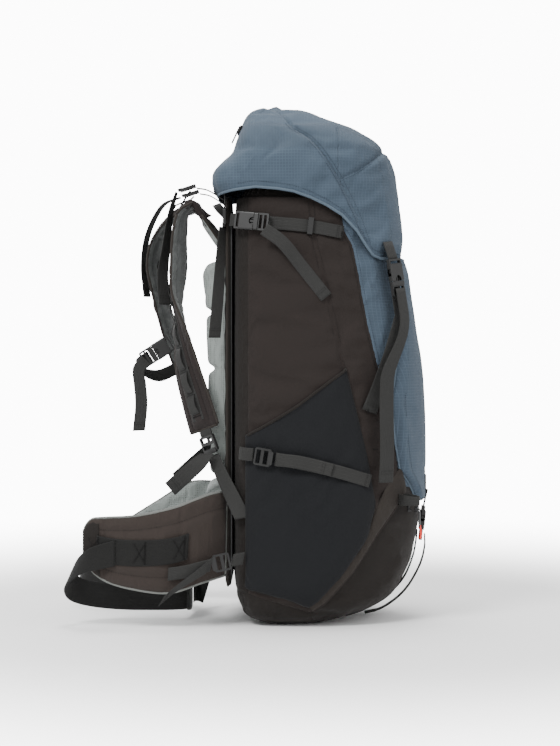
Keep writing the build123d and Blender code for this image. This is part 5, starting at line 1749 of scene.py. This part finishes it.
def make_harness_straps():
    for name, side in SIDES:
        flip = list if side < 0 else mirrored
        lower = strip(
            f"lower_shoulder_strap_{name}", free_stations(flip(LOWER_LINE), WIDE, 40), 1.6, "webbing", "pack"
        )
        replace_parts(lower, "lower_shoulder_straps")
        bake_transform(free_again(lower))
        tail = strip(
            f"shoulder_tail_{name}", free_stations(flip(LOWER_TAIL), WIDE, 44), 1.6, "webbing", "harness",
            fold=20
        )
        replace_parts(tail, "shoulder_tails")
        lifter = strip(
            f"load_lifter_{name}", free_stations(flip(LIFTER_LINE), NARROW, 24), 1.5, "webbing", "pack"
        )
        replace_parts(lifter, "load_lifters")
        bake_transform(free_again(lifter))
        tail = strip(
            f"load_lifter_tail_{name}", free_stations(LIFTER_TAIL[name], NARROW, 60), 1.5, "webbing", "harness",
            fold=17
        )
        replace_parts(tail, "load_lifter_tails")
        belt = strip(f"belt_{name}", free_stations(BELT_LINE[name], BELT, 110), 1.8, "webbing_belt", "pack")
        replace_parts(belt, f"belt_webbing_{name}")
        line = strip(
            f"stabiliser_strap_{name}", free_stations(flip(STABILISER_LINE), NARROW, 26), 1.5, "webbing", "pack"
        )
        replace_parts(line, f"stabiliser_{name}")
        strip(
            f"stabiliser_tail_{name}", free_stations(flip(STABILISER_TAIL), NARROW, 40), 1.5, "webbing", "pack",
            fold=17
        )
        anchor = strip(
            f"stabiliser_anchor_{name}", free_stations(flip(STABILISER_ANCHOR), NARROW, 12), 1.5, "webbing",
            "pack"
        )
        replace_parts(anchor, "stabiliser_anchors")
    strip("belt_tail", free_stations(BELT_TAIL, BELT, 30), 1.8, "webbing_belt", "pack", fold=8)
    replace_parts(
        strip("sternum_webbing_left", free_stations(STERNUM_LEFT, NARROW, 36), 1.5, "webbing", "harness"),
        "sternum_strap_left"
    )
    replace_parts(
        strip("sternum_webbing_right", free_stations(STERNUM_RIGHT, NARROW, 50), 1.5, "webbing", "harness"),
        "sternum_strap_right"
    )
    strip("sternum_tail", free_stations(STERNUM_TAIL, NARROW, 50), 1.5, "webbing", "harness", fold=17)


def on_lid(place, out):
    """The point of the finished lid that a ray meets from outside, towards a place in it."""
    hits = []
    for name in ("lid_top", "lid_front", "lid_top_front"):
        obj = bpy.data.objects.get(name)
        if obj is None:
            continue
        inverse = obj.matrix_world.inverted()
        start, end = inverse @ ((place + out * 60) * MM), inverse @ ((place - out * 20) * MM)
        found, spot, _, _ = obj.ray_cast(start, (end - start).normalized(), distance=(end - start).length)
        if found:
            hits.append(obj.matrix_world @ spot / MM)
    if not hits:
        return place
    return max(hits, key=lambda spot: spot.dot(out))


def make_zips():
    points, outs = [], []
    for k in range(49):
        y = 96 * (k / 24 - 1)
        n = normal_of(skin_front, y, 177)
        points.append(skin_front(y, 177) + n * 1.8)
        outs.append(n)
    zip_line("bottom_zip", points, outs, 26, "pack", "bottom_zipper")
    out = Vector((-0.91, 0, 0.42)).normalized()
    points = []
    for k in range(49):
        share = (k / 24 - 1) * 84 / 151
        height = 0.42 + 0.58 * arch(share, 2.4)
        depth = 0.8 + 0.2 * arch(share, 4)
        place = Vector((5 + (-87 - 5) * depth, share * 151, 700.3 + (774 - 700.3) * height))
        points.append(on_lid(place, out) + out * 2.2)
    zip_line("lid_zip", points, [out] * 49, 14, "lid", "lid_zipper")
    # The red cord puller on the bottom slider.
    low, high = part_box("bottom_zipper_slider")
    middle = (low + high) / 2 / MM
    start = Vector((high.x / MM - 1.5, middle.y, low.z / MM + 3))
    line = [start + Vector((1.5 * math.sin(k / 3.0), 0.6 * math.sin(k), -2.6 * k)) for k in range(9)]
    cord_tube("red_puller", resampled(line, 24), 1.7, "red", "bottom_zip_slider")


def make_extras():
    """Inner sleeve, and the hose clips on the right shoulder strap."""
    vertices, uvs = [], []
    for i in range(30):
        for k in range(24):
            y, z = (k / 23 - 0.5) * 180, 300 + 290 * i / 29
            vertices.append(Vector((-98.6 + 0.9 * ruffle((y, 0, z), 50, 61), y, z)))
            uvs.append((y, z))
    sleeve = piece("inner_sleeve", vertices, grid_faces(30, 24), "lining", "pack", uvs)
    modify(sleeve, "SOLIDIFY", thickness=0.8 * MM, offset=0)
    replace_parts(sleeve, "hydration_sleeve")
    stations = free_stations(RIGHT_STRAP, 62, 108)
    run = outer_line(stations, 0.3, 7.4, 1)
    for k in (40, 58, 72):
        p, h, n = run[k]
        along = (run[k + 1][0] - run[k - 1][0]).normalized()
        loop = [
            (p + n * (0.6 + 5.0 * math.sin(math.pi * j / 12)) + h * (j - 6) * 2.2, along * 6) for j in range(13)
        ]
        strip(f"hose_loop_{k}", loop, 1.3, "webbing", "harness")


def dress_hardware():
    """Finishes for the hard CAD parts that stay in view."""
    for name, node in frame["nodes"].items():
        if "slider" in name:
            look = "slider"
        elif name == "frame_stays":
            look = "aluminium"
        # The framesheet's near-black is painted shade: it fills the dark gap between the harness and the bag's back.
        elif name == "framesheet":
            look = "sheet"
        elif "buckle" in name or "lock" in name or "keeper" in name:
            look = "buckle"
        else:
            continue
        for slot in node.material_slots:
            slot.material = MATERIALS[look]


# ---- the studio ----------------------------------------------------------------------------------------
def make_studio():
    m = Nodes("studio_floor", (0.93, 0.93, 0.93, 1), 0.75)
    # The floor fades out into the white backdrop, so it has no horizon.
    place = m.add("ShaderNodeTexCoord").outputs["Object"]
    distance = m.add("ShaderNodeVectorMath", {0: place}, operation="LENGTH").outputs["Value"]
    fade = m.add(
        "ShaderNodeMapRange", {"Value": distance, "From Min": 0.5, "From Max": 1.9},
        interpolation_type="SMOOTHSTEP"
    )
    clear = m.add("ShaderNodeBsdfTransparent")
    mixed = m.add(
        "ShaderNodeMixShader", {0: fade.outputs["Result"], 1: m.shader.outputs[0], 2: clear.outputs[0]}
    )
    m.tree.links.new(mixed.outputs[0], m.tree.nodes["Material Output"].inputs["Surface"])
    bpy.ops.mesh.primitive_plane_add(size=8, location=(0, 0, -0.0012))
    floor = bpy.context.object
    floor.name = "floor"
    floor.data.materials.append(m.material)
    world = bpy.data.worlds.new("studio")
    bpy.context.scene.world = world
    world.use_nodes = True
    world.node_tree.nodes["Background"].inputs["Color"].default_value = (1, 1, 1, 1)
    # The backdrop is brighter to the camera than the light that it gives, as in a studio cut-out.
    path = world.node_tree.nodes.new("ShaderNodeLightPath")
    strength = world.node_tree.nodes.new("ShaderNodeMath")
    strength.operation = "MULTIPLY_ADD"
    world.node_tree.links.new(path.outputs["Is Camera Ray"], strength.inputs[0])
    strength.inputs[1].default_value, strength.inputs[2].default_value = 11.0, 1.0
    world.node_tree.links.new(strength.outputs[0], world.node_tree.nodes["Background"].inputs["Strength"])
    for name, place, size, power in (
        ("key", (-1.5, -2.2, 2.7), 1.2, 120), ("fill", (2.2, -2.0, 1.5), 2.4, 30), ("top", (0.1, 0.3, 2.9), 1.6, 60),
        ("rim", (-1.0, 2.2, 1.6), 1.6, 18),
    ):
        data = bpy.data.lights.new(name, "AREA")
        data.shape = "DISK"
        data.size = size
        data.energy = power
        light = bpy.data.objects.new(name, data)
        bpy.context.scene.collection.objects.link(light)
        light.location = place
        light.rotation_euler = (Vector((0, 0, 0.4)) - Vector(place)).to_track_quat("-Z", "Y").to_euler()
    camera = bpy.data.objects.new("camera", bpy.data.cameras.new("camera"))
    bpy.context.scene.collection.objects.link(camera)
    camera.data.sensor_fit = "HORIZONTAL"
    camera.data.sensor_width = 36
    camera.data.lens = 127.5
    aim = Vector((-0.0346, 0, 0.391))
    camera.location = aim + Vector((0, -3.2, 0.06))
    camera.rotation_euler = (aim - camera.location).to_track_quat("-Z", "Y").to_euler()
    camera.data.clip_start, camera.data.clip_end = 0.1, 40
    bpy.context.scene.camera = camera


def main():
    make_studio()
    make_bag()
    bag_details()
    make_collar()
    for name, side in SIDES:
        make_side_pocket(name, side)
    make_front_pocket()
    make_lid()
    lid_details()
    make_pads()
    make_harness()
    make_wings()
    make_bag_straps()
    make_lid_straps()
    make_harness_straps()
    make_zips()
    make_extras()
    dress_hardware()


main()
